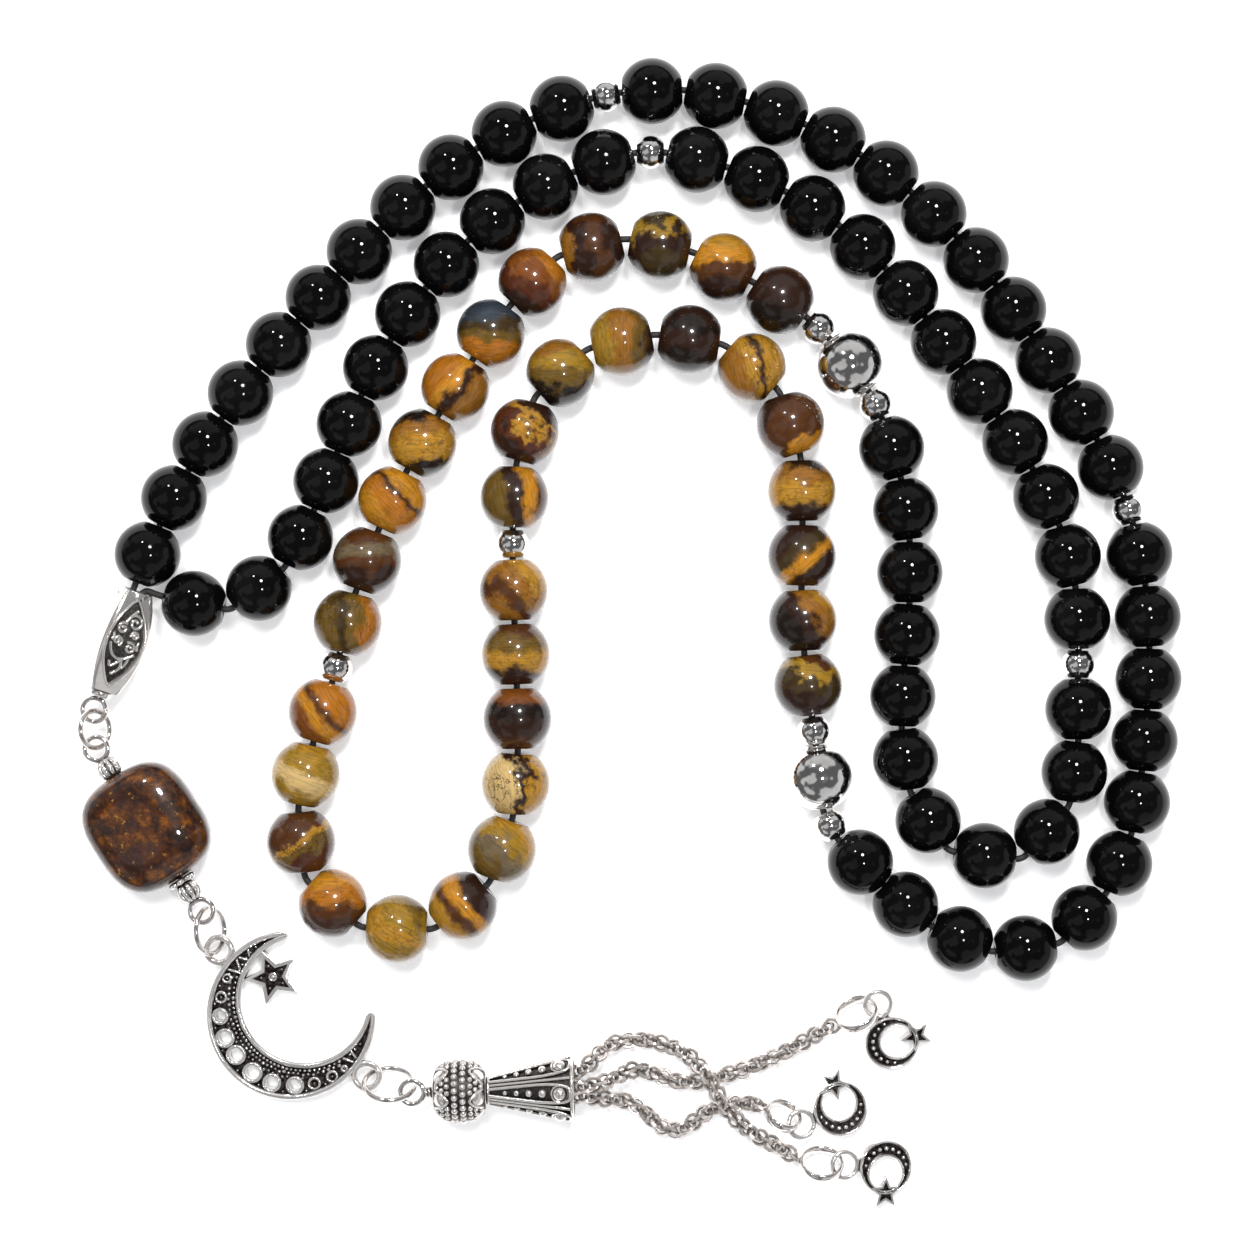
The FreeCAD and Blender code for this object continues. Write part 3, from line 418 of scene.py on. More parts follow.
# ---------------------------------------------------------------- threading cord
# One waxed black cord runs through every stone and is knotted inside the long bead.
# It shows only as a dark thread in the narrow gaps between neighbouring beads.
cord_look, nodes, links, shader = new_look("waxed_cord", (0.012, 0.011, 0.011), 0.55)
place = object_place(nodes)
fibre = noise_of(nodes, links, place, 5200, 4)
thread = mixed(nodes, links, fibre, (0.006, 0.006, 0.006), (0.03, 0.027, 0.026))
links.new(thread, shader.inputs["Base Color"])
bumped(nodes, links, shader, fibre, 0.6, 0.0001)
for node in ("bead_string", "string_knot"):
    cord = frame["nodes"][node]
    cord.data.materials.clear()
    cord.data.materials.append(cord_look)
    cord.data.polygons.foreach_set("use_smooth", [True] * len(cord.data.polygons))

# ---------------------------------------------------------------- black stones
# Sixty-six balls of polished black onyx, drilled and tumbled to a mirror gloss.
# They are strung on the cord and cannot leave it.
STONE_DIA = 8.0
STONE_LENGTH = 7.35
STONE_BORE = 1.2


def ball_profile(dia, length, bore, soft=0.12):
    """Half the outline of a drilled ball whose ends are ground flat and softly rounded."""
    reach = dia / 2
    end = math.degrees(math.acos(length / 2 / reach))
    side = arc(0, 0, reach, -(90 - end) + 1.2, 90 - end - 1.2, 26)
    lip = bore / 2 + soft
    return (
        [(bore / 2, -length / 2 + soft), (lip, -length / 2)]
        + side
        + [(lip, length / 2), (bore / 2, length / 2 - soft)]
    )


def bead_places(node, start):
    """The middle and the bore's direction of each bead in a node of the frame, walked from start."""
    bm = bmesh.new()
    bm.from_mesh(frame["nodes"][node].data)
    bmesh.ops.remove_doubles(bm, verts=bm.verts, dist=1e-6)
    bm.verts.ensure_lookup_table()
    seen, beads = set(), []
    for first in bm.verts:
        if first.index in seen:
            continue
        seen.add(first.index)
        island, queue = [], [first]
        while queue:
            point = queue.pop()
            island.append(point.co.copy())
            for edge in point.link_edges:
                other = edge.other_vert(point)
                if other.index not in seen:
                    seen.add(other.index)
                    queue.append(other)
        low = Vector([min(p[axis] for p in island) for axis in range(3)])
        high = Vector([max(p[axis] for p in island) for axis in range(3)])
        # the mouths of the bore are the points nearest the middle
        middle = (low + high) / 2
        near = min((p - middle).length for p in island)
        mouths = [p for p in island if (p - middle).length < near + 0.00002]
        first_mouth = mouths[0]
        side = [p for p in mouths if (p - first_mouth).length < 0.003]
        other = [p for p in mouths if (p - first_mouth).length >= 0.003]
        ends = [sum(group, Vector()) / len(group) for group in (side, other)]
        beads.append(((ends[0] + ends[1]) / 2, (ends[1] - ends[0]).normalized()))
    bm.free()
    ordered, here = [], start
    while beads:
        nearest = min(beads, key=lambda bead: (bead[0] - here).length)
        beads.remove(nearest)
        ordered.append(nearest)
        here = nearest[0]
    return ordered


onyx_look, nodes, links, shader = new_look("black_onyx", (0.002, 0.002, 0.002), 0.05)
shader.inputs["Specular IOR Level"].default_value = 0.22
place = object_place(nodes)
cloud = noise_of(nodes, links, place, 160, 5)
cloud = spread(nodes, links, cloud, 0.45, 0.8)
cloudy = mixed(nodes, links, cloud, (0.0015, 0.0015, 0.0017), (0.0045, 0.004, 0.004))
links.new(cloudy, shader.inputs["Base Color"])
smear = noise_of(nodes, links, place, 420, 4)
links.new(spread(nodes, links, smear, 0.45, 0.8, 0.035, 0.10), shader.inputs["Roughness"])
bumped(nodes, links, shader, noise_of(nodes, links, place, 700, 3), 0.06, 0.00003)

stone_shape = turned(ball_profile(STONE_DIA, STONE_LENGTH, STONE_BORE), 48)
for number in range(1, 7):
    node = f"black_stones_{number}"
    bm = new_bmesh()
    for middle, along in bead_places(node, box_middle(node)):
        add_shape(bm, stone_shape, standing(middle, along))
    new_piece(f"{node}_polished", bm, [onyx_look], "strand", "black_stone", node, sharp=50)

# ---------------------------------------------------------------- tiger's eye stones
# Thirty-three drilled balls of tiger's eye, each cut from its own piece of rough, so that
# no two are alike: honey gold, olive and red-brown silky bands under a glassy polish.
PALETTE = {
    "black": (0.005, 0.003, 0.002),
    "umber": (0.018, 0.007, 0.004),
    "red": (0.060, 0.015, 0.005),
    "brown": (0.060, 0.021, 0.005),
    "plum": (0.036, 0.015, 0.010),
    "rust": (0.145, 0.045, 0.006),
    "orange": (0.31, 0.115, 0.008),
    "amber": (0.39, 0.175, 0.012),
    "gold": (0.33, 0.175, 0.018),
    "honey": (0.21, 0.092, 0.010),
    "mustard": (0.24, 0.145, 0.014),
    "olive": (0.105, 0.064, 0.010),
    "dark_olive": (0.034, 0.022, 0.006),
    "cream": (0.46, 0.34, 0.15),
    "grey": (0.11, 0.085, 0.050),
    "slate": (0.024, 0.036, 0.055),
}
# from the first stone after the spacer: direction of the bands in degrees, the four colours
# across them, the three edges between the colours, how far they wander, and how veined
STONE_LOOKS = [
    (80, ("umber", "dark_olive", "mustard", "brown"), (0.35, 0.62, 0.85), 0.9, 0.8),
    (35, ("black", "umber", "honey", "gold"), (0.36, 0.58, 0.80), 0.5, 0.3),
    (-50, ("umber", "dark_olive", "amber", "umber"), (0.30, 0.50, 0.68), 0.35, 0.3),
    (90, ("umber", "gold", "honey", "black"), (0.30, 0.62, 0.82), 0.45, 0.5),
    (-45, ("umber", "brown", "brown", "amber"), (0.25, 0.55, 0.75), 0.6, 0.3),
    (20, ("honey", "gold", "umber", "gold"), (0.35, 0.55, 0.66), 0.5, 0.9),
    (70, ("black", "umber", "black", "umber"), (0.30, 0.55, 0.75), 0.7, 0.7),
    (5, ("mustard", "honey", "olive", "umber"), (0.35, 0.66, 0.80), 0.4, 0.2),
    (90, ("black", "olive", "mustard", "honey"), (0.28, 0.50, 0.78), 0.5, 0.3),
    (60, ("umber", "red", "gold", "umber"), (0.35, 0.55, 0.66), 0.9, 0.3),
    (10, ("olive", "umber", "amber", "brown"), (0.38, 0.62, 0.78), 0.35, 0.4),
    (55, ("honey", "brown", "honey", "gold"), (0.25, 0.50, 0.72), 0.5, 0.6),
    (90, ("umber", "gold", "olive", "brown"), (0.28, 0.55, 0.75), 0.45, 0.4),
    (85, ("brown", "umber", "black", "rust"), (0.22, 0.50, 0.76), 0.4, 0.5),
    (10, ("cream", "cream", "umber", "gold"), (0.36, 0.46, 0.62), 0.9, 1.0),
    (50, ("olive", "grey", "mustard", "gold"), (0.30, 0.50, 0.72), 0.6, 0.2),
    (40, ("gold", "brown", "amber", "umber"), (0.30, 0.45, 0.65), 0.25, 0.2),
    (60, ("mustard", "gold", "mustard", "olive"), (0.30, 0.60, 0.85), 0.6, 0.5),
    (90, ("plum", "brown", "orange", "amber"), (0.35, 0.52, 0.75), 0.4, 0.4),
    (120, ("red", "olive", "gold", "brown"), (0.30, 0.50, 0.66), 0.9, 0.9),
    (70, ("mustard", "cream", "mustard", "gold"), (0.25, 0.55, 0.85), 0.5, 0.1),
    (35, ("rust", "amber", "brown", "orange"), (0.30, 0.50, 0.62), 0.22, 0.2),
    (0, ("olive", "dark_olive", "olive", "orange"), (0.35, 0.52, 0.72), 0.45, 0.8),
    (90, ("umber", "brown", "grey", "brown"), (0.35, 0.55, 0.75), 0.4, 0.3),
    (45, ("amber", "orange", "umber", "amber"), (0.35, 0.56, 0.66), 0.35, 0.4),
    (90, ("black", "gold", "honey", "black"), (0.25, 0.55, 0.80), 0.6, 0.5),
    (-40, ("orange", "amber", "umber", "honey"), (0.35, 0.52, 0.68), 0.4, 0.2),
    (90, ("orange", "olive", "dark_olive", "slate"), (0.28, 0.48, 0.66), 0.45, 0.4),
    (50, ("umber", "red", "rust", "orange"), (0.25, 0.45, 0.70), 0.5, 0.3),
    (20, ("honey", "umber", "brown", "umber"), (0.25, 0.50, 0.75), 0.8, 0.9),
    (100, ("dark_olive", "umber", "mustard", "dark_olive"), (0.35, 0.62, 0.80), 0.9, 0.6),
    (90, ("umber", "brown", "amber", "gold"), (0.28, 0.50, 0.75), 0.4, 0.3),
    (65, ("black", "umber", "umber", "brown"), (0.35, 0.55, 0.80), 0.5, 0.5),
]

tiger_look, nodes, links, shader = new_look("tiger_eye", PALETTE["honey"], 0.30, 0.0, 1.0, 0.025)
shader.inputs["Coat IOR"].default_value = 1.36
shader.inputs["Specular IOR Level"].default_value = 0.15


def named(nodes, name, output):
    node = nodes.new("ShaderNodeAttribute")
    node.attribute_name = name
    return node.outputs[output]


grain = named(nodes, "grain", "Vector")
parts = nodes.new("ShaderNodeSeparateXYZ")
links.new(grain, parts.inputs[0])
edges = nodes.new("ShaderNodeSeparateXYZ")
links.new(named(nodes, "edges", "Vector"), edges.inputs[0])
nature = nodes.new("ShaderNodeSeparateXYZ")
links.new(named(nodes, "nature", "Vector"), nature.inputs[0])
broad = noise_of(nodes, links, grain, 1.1, 4, 0.55)
fine = noise_of(nodes, links, grain, 4.5, 5, 0.6)
across = sum_of(nodes, links, "MULTIPLY_ADD", parts.outputs["Y"], 0.5, 0.5)
wander = sum_of(nodes, links, "SUBTRACT", broad, 0.5)
wander = sum_of(nodes, links, "MULTIPLY", wander, nature.outputs["X"])
across = sum_of(nodes, links, "MULTIPLY_ADD", wander, 1.5, across)
ragged = sum_of(nodes, links, "SUBTRACT", fine, 0.5)
across = sum_of(nodes, links, "MULTIPLY_ADD", ragged, 0.10, across)
colour = named(nodes, "colour_1", "Color")
for index, axis in enumerate("XYZ"):
    past = sum_of(nodes, links, "SUBTRACT", across, edges.outputs[axis])
    step = spread(nodes, links, past, -0.05, 0.07)
    colour = mixed(nodes, links, step, colour, named(nodes, f"colour_{index + 2}", "Color"))
# silky fibres run along the bands; their sheen is painted into the colour as a lit and a dim copy of the
# band colour
stretch = nodes.new("ShaderNodeMapping")
stretch.inputs["Scale"].default_value = (1.1, 13.0, 5.0)
links.new(grain, stretch.inputs["Vector"])
silk = noise_of(nodes, links, stretch.outputs[0], 1.6, 5, 0.6)
sheen = spread(nodes, links, silk, 0.28, 0.66, 0.0, 1.0)
dim = mixed(nodes, links, 0.5, colour, (0.012, 0.006, 0.004))
lit = mixed(nodes, links, 1.0, colour, (1.05, 0.95, 0.82), blend="MULTIPLY")
colour = mixed(nodes, links, sheen, dim, lit)
# branching dark veins
crack = noise_of(nodes, links, grain, 2.3, 6, 0.62)
crack = sum_of(nodes, links, "ABSOLUTE", sum_of(nodes, links, "SUBTRACT", crack, 0.5))
vein = spread(nodes, links, crack, 0.0, 0.028, 1.0, 0.0)
patchy = noise_of(nodes, links, grain, 1.4, 2)
vein = sum_of(nodes, links, "MULTIPLY", vein, spread(nodes, links, patchy, 0.42, 0.58))
vein = sum_of(nodes, links, "MULTIPLY", vein, nature.outputs["Y"], clamp=True)
colour = mixed(nodes, links, vein, colour, (0.018, 0.009, 0.006))
# painted shade: each stone's colour darkens towards its lower side, by each point's height in the stone
depth = spread(nodes, links, nature.outputs["Z"], -0.2, 0.75, 0.55, 1.0)
shade = nodes.new("ShaderNodeCombineColor")
for socket in shade.inputs[:3]:
    links.new(depth, socket)
colour = mixed(nodes, links, 1.0, colour, shade.outputs[0], blend="MULTIPLY")
links.new(colour, shader.inputs["Base Color"])
links.new(spread(nodes, links, silk, 0.2, 0.8, 0.42, 0.22), shader.inputs["Roughness"])
bumped(nodes, links, shader, noise_of(nodes, links, object_place(nodes), 500, 2), 0.03, 0.00003)

TIGER_DIA = STONE_DIA + 0.35
tiger_shape = turned(ball_profile(TIGER_DIA, STONE_LENGTH, STONE_BORE), 48)
walk_from = joint_at("large_silver_bead_1_spin")
strand_number = 0
for number in (1, 2, 3):
    node = f"tiger_eye_stones_{number}"
    bm = new_bmesh()
    counts = []
    beads = bead_places(node, walk_from)
    for middle, along in beads:
        before = len(bm.verts)
        add_shape(bm, tiger_shape, standing(middle, along))
        counts.append(len(bm.verts) - before)
    slot = "tiger_eye_stone"
    mesh = new_piece(f"{node}_polished", bm, [tiger_look], "strand", slot, node, sharp=50).data
    for name in ("grain", "edges", "nature"):
        mesh.attributes.new(name, "FLOAT_VECTOR", "POINT")
    for index in (1, 2, 3, 4):
        mesh.attributes.new(f"colour_{index}", "FLOAT_COLOR", "POINT")
    grains, edge_places, natures = (mesh.attributes[name] for name in ("grain", "edges", "nature"))
    colours = [mesh.attributes[f"colour_{index}"] for index in (1, 2, 3, 4)]
    point = 0
    for (middle, _along), count in zip(beads, counts):
        angle, names, edges_at, wander_by, veined = STONE_LOOKS[strand_number]
        turn = Matrix.Rotation(math.radians(90 - angle), 3, "Z")
        away = Vector((strand_number * 3.7, 0, strand_number * 5.3))
        for index in range(point, point + count):
            local = turn @ ((mesh.vertices[index].co - middle) / (TIGER_DIA / 2 * MM))
            grains.data[index].vector = local + away
            edge_places.data[index].vector = edges_at
            # the third number is the point's height in its stone, which sets the painted shade on its
            # lower side
            natures.data[index].vector = (wander_by, veined, local.z)
            for layer, name in zip(colours, names):
                layer.data[index].color = (*PALETTE[name], 1)
        point += count
        strand_number += 1
    walk_from = beads[-1][0]

# ---------------------------------------------------------------- silver beads of the strand
# Ten small round markers and two large dividers, hollow silver beads with plain lips
# around the bore, polished bright. Each turns freely on the cord.
bright_look, nodes, links, shader = new_look("bright_silver", (0.83, 0.81, 0.79), 0.07, metallic=1.0)
place = object_place(nodes)
haze = noise_of(nodes, links, place, 650, 5, 0.6)
links.new(spread(nodes, links, haze, 0.35, 0.8, 0.05, 0.15), shader.inputs["Roughness"])
haze = spread(nodes, links, haze, 0.4, 0.8)
links.new(mixed(nodes, links, haze, (0.85, 0.83, 0.81), (0.70, 0.675, 0.65)), shader.inputs["Base Color"])
bumped(nodes, links, shader, noise_of(nodes, links, place, 420, 3), 0.10, 0.00006)


def lipped_bead(dia, end_dia, length, bore, lip=0.22):
    """A hollow round bead with a small rolled lip at each end of its bore."""
    reach = length / 2
    bulge = dia / 2
    end = end_dia / 2
    side = []
    for step in range(25):
        turn = math.radians(-90 + 180 * step / 24)
        height = (reach - lip) * math.sin(turn)
        side.append((max(end - lip / 2, math.sqrt(bulge**2 - height**2)), height))
    low_lip = arc(end - lip, -reach + lip, lip, -100, -20, 5)
    high_lip = arc(end - lip, reach - lip, lip, 20, 100, 5)
    inner = bore / 2
    return [(inner, -reach + lip)] + low_lip + side[1:-1] + high_lip + [(inner, reach - lip)]


spacer_shape = turned(lipped_bead(4.0, 2.7, 3.3, 1.15), 40)
large_shape = turned(lipped_bead(8.2, 3.3, 7.7, 1.2, 0.3), 64)
for kind, count, shape in (("spacer_bead", 10, spacer_shape), ("large_silver_bead", 2, large_shape)):
    for number in range(1, count + 1):
        node = f"{kind}_{number}"
        bm = new_bmesh()
        add_shape(bm, shape, standing(joint_at(node + "_spin"), joint_along(node + "_spin")))
        new_piece(f"{node}_polished", bm, [bright_look], node, "bright_silver", node)

# ---------------------------------------------------------------- imame
# The long bead that gathers both ends of the cord: cast silver with four bowed faces, two
# left plain and two pierced by a pointed oval of scrollwork over a blackened ground.
imame_look = aged_silver(
    "imame_silver", (0.80, 0.77, 0.74), (0.012, 0.009, 0.008), 0.11, 0.0007, 0.55, metal=0.85
)
IMAME_LENGTH = 12.6
IMAME_WIDTH = 5.7
IMAME_END = 3.4
IMAME_ROLL = -25.0
COLLAR_HALF = 0.4
SEAT_GAP = 0.05
CORNER = 9.0
CARVED_DEPTH = 0.42
CARVED_SLOPE = 0.22
imame_down = joint_along("imame_collar_spin")
collar_place = joint_at("imame_collar_spin")
imame_mouth = collar_place - imame_down * ((IMAME_LENGTH + SEAT_GAP + COLLAR_HALF) * MM)
imame_at = standing(imame_mouth, imame_down, IMAME_ROLL)


def imame_half(height):
    """Half the width of the four bowed faces at a height above the mouth."""
    along = 2 * height / IMAME_LENGTH - 1
    return (IMAME_END + (IMAME_WIDTH - IMAME_END) * (1 - along * along)) / 2


def oval_half(height):
    """Half the width of the carved pointed oval."""
    along = (height - IMAME_LENGTH * 0.5) / (IMAME_LENGTH * 0.44)
    return max(0.0, 2.25 * (1 - along**2))


bm = new_bmesh()
bmesh.ops.create_cube(bm, size=2)
bmesh.ops.subdivide_edges(bm, edges=bm.edges, cuts=46, use_grid_fill=True)
tarnish = bm.verts.layers.float["tarnish"]
for point in bm.verts:
    x, y, z = point.co
    height = (z + 1) / 2 * IMAME_LENGTH
    half = imame_half(height)
    bulk = (abs(x) ** CORNER + abs(y) ** CORNER) ** (1 / CORNER)
    most = max(abs(x), abs(y))
    shrink = (most / bulk if bulk > 0 else 1.0) * half
    point.co = (x * shrink, y * shrink, height)
    if abs(y) > 0.999 and abs(z) < 0.999:
        edge = oval_half(height) - abs(point.co.x)
        if edge > 0:
            sink = min(1.0, edge / CARVED_SLOPE)
            point.co.y -= math.copysign(CARVED_DEPTH * sink, y)
            point[tarnish] = 0.95 if sink > 0.75 else 0.0
imame_shape = as_mesh(bm)
collar_shape = turned(
    [(1.25, 0.1)] + arc(1.75, 0.3, 0.3, -100, 0, 5) + arc(1.75, 0.85, 0.3, 0, 100, 5) + [(1.25, 1.15)], 40
)


def wire_along(points, radius, closed=False, sides=3):
    """A rounded wire drawn through the points, in millimetres."""
    curve = bpy.data.curves.new("wire", "CURVE")
    curve.dimensions = "3D"
    curve.bevel_depth = radius
    curve.bevel_resolution = sides
    curve.use_fill_caps = True
    curve.resolution_u = 6
    spline = curve.splines.new("NURBS")
    spline.points.add(len(points) - 1)
    for knot, point in zip(spline.points, points):
        knot.co = (*point, 1)
    spline.order_u = 3
    spline.use_endpoint_u = not closed
    spline.use_cyclic_u = closed
    holder = bpy.data.objects.new("wire", curve)
    mesh = bpy.data.meshes.new_from_object(holder)
    bpy.data.objects.remove(holder)
    bpy.data.curves.remove(curve)
    return mesh


def scroll(centre_x, centre_y, start_radius, turns, start_angle, way=1, steps=14):
    """A flat spiral that winds inwards."""
    points = []
    for step in range(steps + 1):
        part = step / steps
        reach = start_radius * (1 - 0.78 * part)
        turn = math.radians(start_angle) + way * turns * math.tau * part
        points.append((centre_x + reach * math.cos(turn), centre_y + reach * math.sin(turn)))
    return points


# scrollwork on one face: across the bead, then along it from the middle
SCROLLS = [
    scroll(0.55, 2.7, 1.05, 1.3, 150, -1),
    scroll(-0.75, 1.75, 0.75, 1.2, 60, 1),
    scroll(0.95, 1.2, 0.55, 1.2, 200, -1),
    scroll(-0.95, 0.15, 0.65, 1.25, 300, 1),
    scroll(0.75, -0.35, 0.75, 1.25, 130, -1),
    [(-1.7, -0.2), (-1.4, -1.3), (-0.5, -2.0), (0.6, -1.9), (1.5, -1.1)],
    [(0.3, -1.9), (-0.2, -2.7), (-0.9, -3.2), (-1.0, -2.6)],
    [(0.3, -1.9), (0.6, -2.7), (0.3, -3.5), (-0.2, -3.9)],
    [(1.1, -1.5), (1.1, -2.4), (0.7, -2.9)],
    [(-1.7, 1.0), (-1.5, 0.6), (-1.6, 0.2)],
    [(1.7, 0.6), (1.5, 0.2), (1.7, -0.3)],
    [(-0.6, 2.5), (-0.2, 3.4), (0.4, 4.1)],
]
bm = new_bmesh()
add_shape(bm, imame_shape, imame_at, None)
add_shape(bm, collar_shape, imame_at @ Matrix.Translation((0, 0, -0.12)))
for side in (1, -1):
    for line in SCROLLS:
        points = []
        for x, along in line:
            height = IMAME_LENGTH / 2 - along
            points.append((x, side * (imame_half(height) - 0.30), height))
        add_shape(bm, wire_along(points, 0.20), imame_at)
        add_shape(bm, small_ball(0.24), imame_at @ Matrix.Translation(points[-1]))
    rim = []
    for step in range(33):
        height = IMAME_LENGTH * (0.065 + 0.87 * step / 32)
        rim.append((oval_half(height) + 0.05, side * (imame_half(height) - 0.04), height))
    rim += [(-x, y, height) for x, y, height in reversed(rim[1:-1])]
    add_shape(bm, wire_along(rim, 0.17, closed=True), imame_at)
# dark balls round the mouth collar stand for its pierced notches: their dark is oxide and painted shade of
# the holes
for step in range(10):
    turn = math.radians(step * 36 + 9)
    notch = Matrix.Translation((1.98 * math.cos(turn), 1.98 * math.sin(turn), 0.75))
    add_shape(bm, small_ball(0.16), imame_at @ notch, 0.9)
new_piece("imame_cast", bm, [imame_look], "strand", "antique_silver", "imame_bead")

# the small rolled collar that closes the lower end turns on the pin
bm = new_bmesh()
rolled_edge = arc(1.12, -0.15, 0.25, -90, -10, 4) + arc(1.12, 0.15, 0.25, 10, 90, 4)
rolled_collar = turned([(0.36, -COLLAR_HALF)] + rolled_edge + [(0.36, COLLAR_HALF)], 36)
add_shape(bm, rolled_collar, standing(collar_place, imame_down))
new_piece("imame_collar_rolled", bm, [imame_look], "imame_collar", "antique_silver", "imame_collar")

# ---------------------------------------------------------------- pins and link rings
# Bright wire bent by hand: eyed pins hold the threaded parts, and open jump rings pressed
# shut join each eye to the next. Every joint between two rings swings.
wire_look = aged_silver(
    "silver_wire", (0.80, 0.76, 0.73), (0.05, 0.04, 0.035), 0.10, 0.0009, 0.8, metal=0.93
)
PIN_DIA = 0.65
EYE_DIA = 3.5
LINK_WIRE = 0.7
eye_shape = wire_ring(EYE_DIA, PIN_DIA, 40, 14)
lying = Matrix.Rotation(math.radians(90), 4, "X")


def rod(dia, start, end):
    return turned([(0, start), (dia / 2, start), (dia / 2, end), (0, end)], 16)


def coil(dia, wire, start, turns, steps=14):
    """Wire wound tightly round a pin."""
    points = []
    for step in range(int(turns * steps) + 1):
        turn = math.tau * step / steps
        height = start + wire * step / steps
        points.append((dia / 2 * math.cos(turn), dia / 2 * math.sin(turn), height))
    return wire_along(points, wire / 2)


EYE_REACH = (EYE_DIA - PIN_DIA) / 2
HEAD_DIA = 2.0
HEAD_FROM = EYE_DIA / 2 + 2.2
HEAD_TO = EYE_DIA / 2 + 2.6
bm = new_bmesh()
at = standing(joint_at("upper_link_swing"), -imame_down)
add_shape(bm, eye_shape, at @ lying)
add_shape(bm, rod(PIN_DIA, EYE_REACH, HEAD_TO), at)
add_shape(bm, rod(HEAD_DIA, HEAD_FROM, HEAD_TO), at)
new_piece("imame_eye_pin_wire", bm, [wire_look], "strand", "bright_silver", "imame_eye_pin")


def ring_pose(node):
    """The middle and the axis of a ring, from the spread of its own points."""
    middle = box_middle(node)
    arms = [point.co - middle for point in frame["nodes"][node].data.vertices]
    matrix = Matrix([[sum(arm[row] * arm[col] for arm in arms) for col in range(3)] for row in range(3)])
    # the axis is the direction of least spread, found by repeated inverse steps
    matrix = matrix * (1 / (matrix[0][0] + matrix[1][1] + matrix[2][2]))
    inverse = (matrix + Matrix.Identity(3) * 1e-4).inverted()
    axis = Vector((0.31, 0.23, 0.92))
    for _step in range(80):
        axis = (inverse @ axis).normalized()
    return middle, axis if axis.z > 0 else -axis


LINKS = {"upper": 5.2, "middle": 6.3, "lower": 6.8}
for which, dia in LINKS.items():
    node = f"{which}_link_ring"
    middle, axis = ring_pose(node)
    bm = new_bmesh()
    add_shape(bm, wire_ring(dia, LINK_WIRE, 56, 16), standing(middle, axis))
    new_piece(f"{node}_wire", bm, [wire_look], f"{which}_link", "bright_silver", node)

# ---------------------------------------------------------------- threaded nugget
# A tumbled cushion of banded brown stone between two fluted beads, with a daisy cap below,
# all loose on one pin whose ends are turned into eyes.
NUGGET = (13.7, 8.6, 14.7)
NUGGET_FACET = 4.02
nugget_along = joint_along("nugget_stone_spin")
second_eye = joint_at("nugget_hanger_swing")
third_eye = joint_at("middle_link_swing")
pin_length = (third_eye - second_eye).length / MM
bm = new_bmesh()
at = standing(second_eye, nugget_along)
add_shape(bm, eye_shape, at @ lying)
add_shape(bm, eye_shape, at @ Matrix.Translation((0, 0, pin_length)) @ lying)
add_shape(bm, rod(PIN_DIA, EYE_REACH, pin_length - EYE_REACH), at)
new_piece("nugget_pin_wire", bm, [wire_look], "nugget_hanger", "bright_silver", "nugget_pin")

nugget_look, nodes, links, shader = new_look("nugget_stone", (0.10, 0.05, 0.02), 0.30, coat=1.0)
shader.inputs["Coat IOR"].default_value = 1.4
shader.inputs["Specular IOR Level"].default_value = 0.15
grain = named(nodes, "grain", "Vector")
parts = nodes.new("ShaderNodeSeparateXYZ")
links.new(grain, parts.inputs[0])
cloud = noise_of(nodes, links, grain, 0.9, 5, 0.6)
mottle = noise_of(nodes, links, grain, 2.6, 7, 0.68)
ground = spread(nodes, links, mottle, 0.38, 0.50)
colour = mixed(nodes, links, ground, (0.010, 0.004, 0.003), (0.045, 0.014, 0.004))
colour = mixed(nodes, links, spread(nodes, links, mottle, 0.51, 0.68), colour, (0.155, 0.052, 0.007))
blotch = sum_of(nodes, links, "MULTIPLY_ADD", parts.outputs["Y"], 0.10, cloud)
blotch = spread(nodes, links, blotch, 0.66, 0.78, 0.0, 0.85)
colour = mixed(nodes, links, blotch, colour, (0.034, 0.014, 0.012))
fleck = noise_of(nodes, links, grain, 7.0, 4, 0.6)
fleck = spread(nodes, links, fleck, 0.62, 0.74, 0.0, 0.8)
colour = mixed(nodes, links, fleck, colour, (0.38, 0.19, 0.03))
crack = sum_of(nodes, links, "ABSOLUTE", sum_of(nodes, links, "SUBTRACT", mottle, 0.46))
crack = spread(nodes, links, crack, 0.0, 0.02, 0.85, 0.0)
colour = mixed(nodes, links, crack, colour, (0.008, 0.004, 0.003))
links.new(colour, shader.inputs["Base Color"])
links.new(spread(nodes, links, mottle, 0.3, 0.7, 0.45, 0.2), shader.inputs["Roughness"])
bumped(nodes, links, shader, noise_of(nodes, links, grain, 1.4, 3), 0.12, 0.0004)

bm = new_bmesh()
bmesh.ops.create_cube(bm, size=2)
bmesh.ops.subdivide_edges(bm, edges=bm.edges, cuts=40, use_grid_fill=True)
for point in bm.verts:
    x, y, z = point.co
    # rounder in plan than through its thickness, so that a broad flat shows on top
    flat = (abs(x) ** 3.0 + abs(z) ** 3.0) ** (1 / 3.0)
    bulk = (flat**2.7 + abs(y) ** 2.7) ** (1 / 2.7)
    most = max(abs(x), abs(y), abs(z))
    scale = most / bulk if bulk > 0 else 0
    point.co = (x * scale * NUGGET[0] / 2, y * scale * NUGGET[1] / 2, z * scale * NUGGET[2] / 2)
    # the polisher's flat facet on top
    point.co.y = min(point.co.y, NUGGET_FACET + 0.035 * point.co.x)
cushion = as_mesh(bm)
nugget_at = standing(joint_at("nugget_stone_spin"), nugget_along)
bm = new_bmesh()
add_shape(bm, cushion, nugget_at)
made = new_piece("nugget_stone_polished", bm, [nugget_look], "nugget_stone", "brown_stone", "nugget_stone")
grains = made.data.attributes.new("grain", "FLOAT_VECTOR", "POINT")
for index, point in enumerate(cushion.vertices):
    grains.data[index].vector = Vector(point.co) * 0.20 + Vector((4.0, 1.0, 2.0))

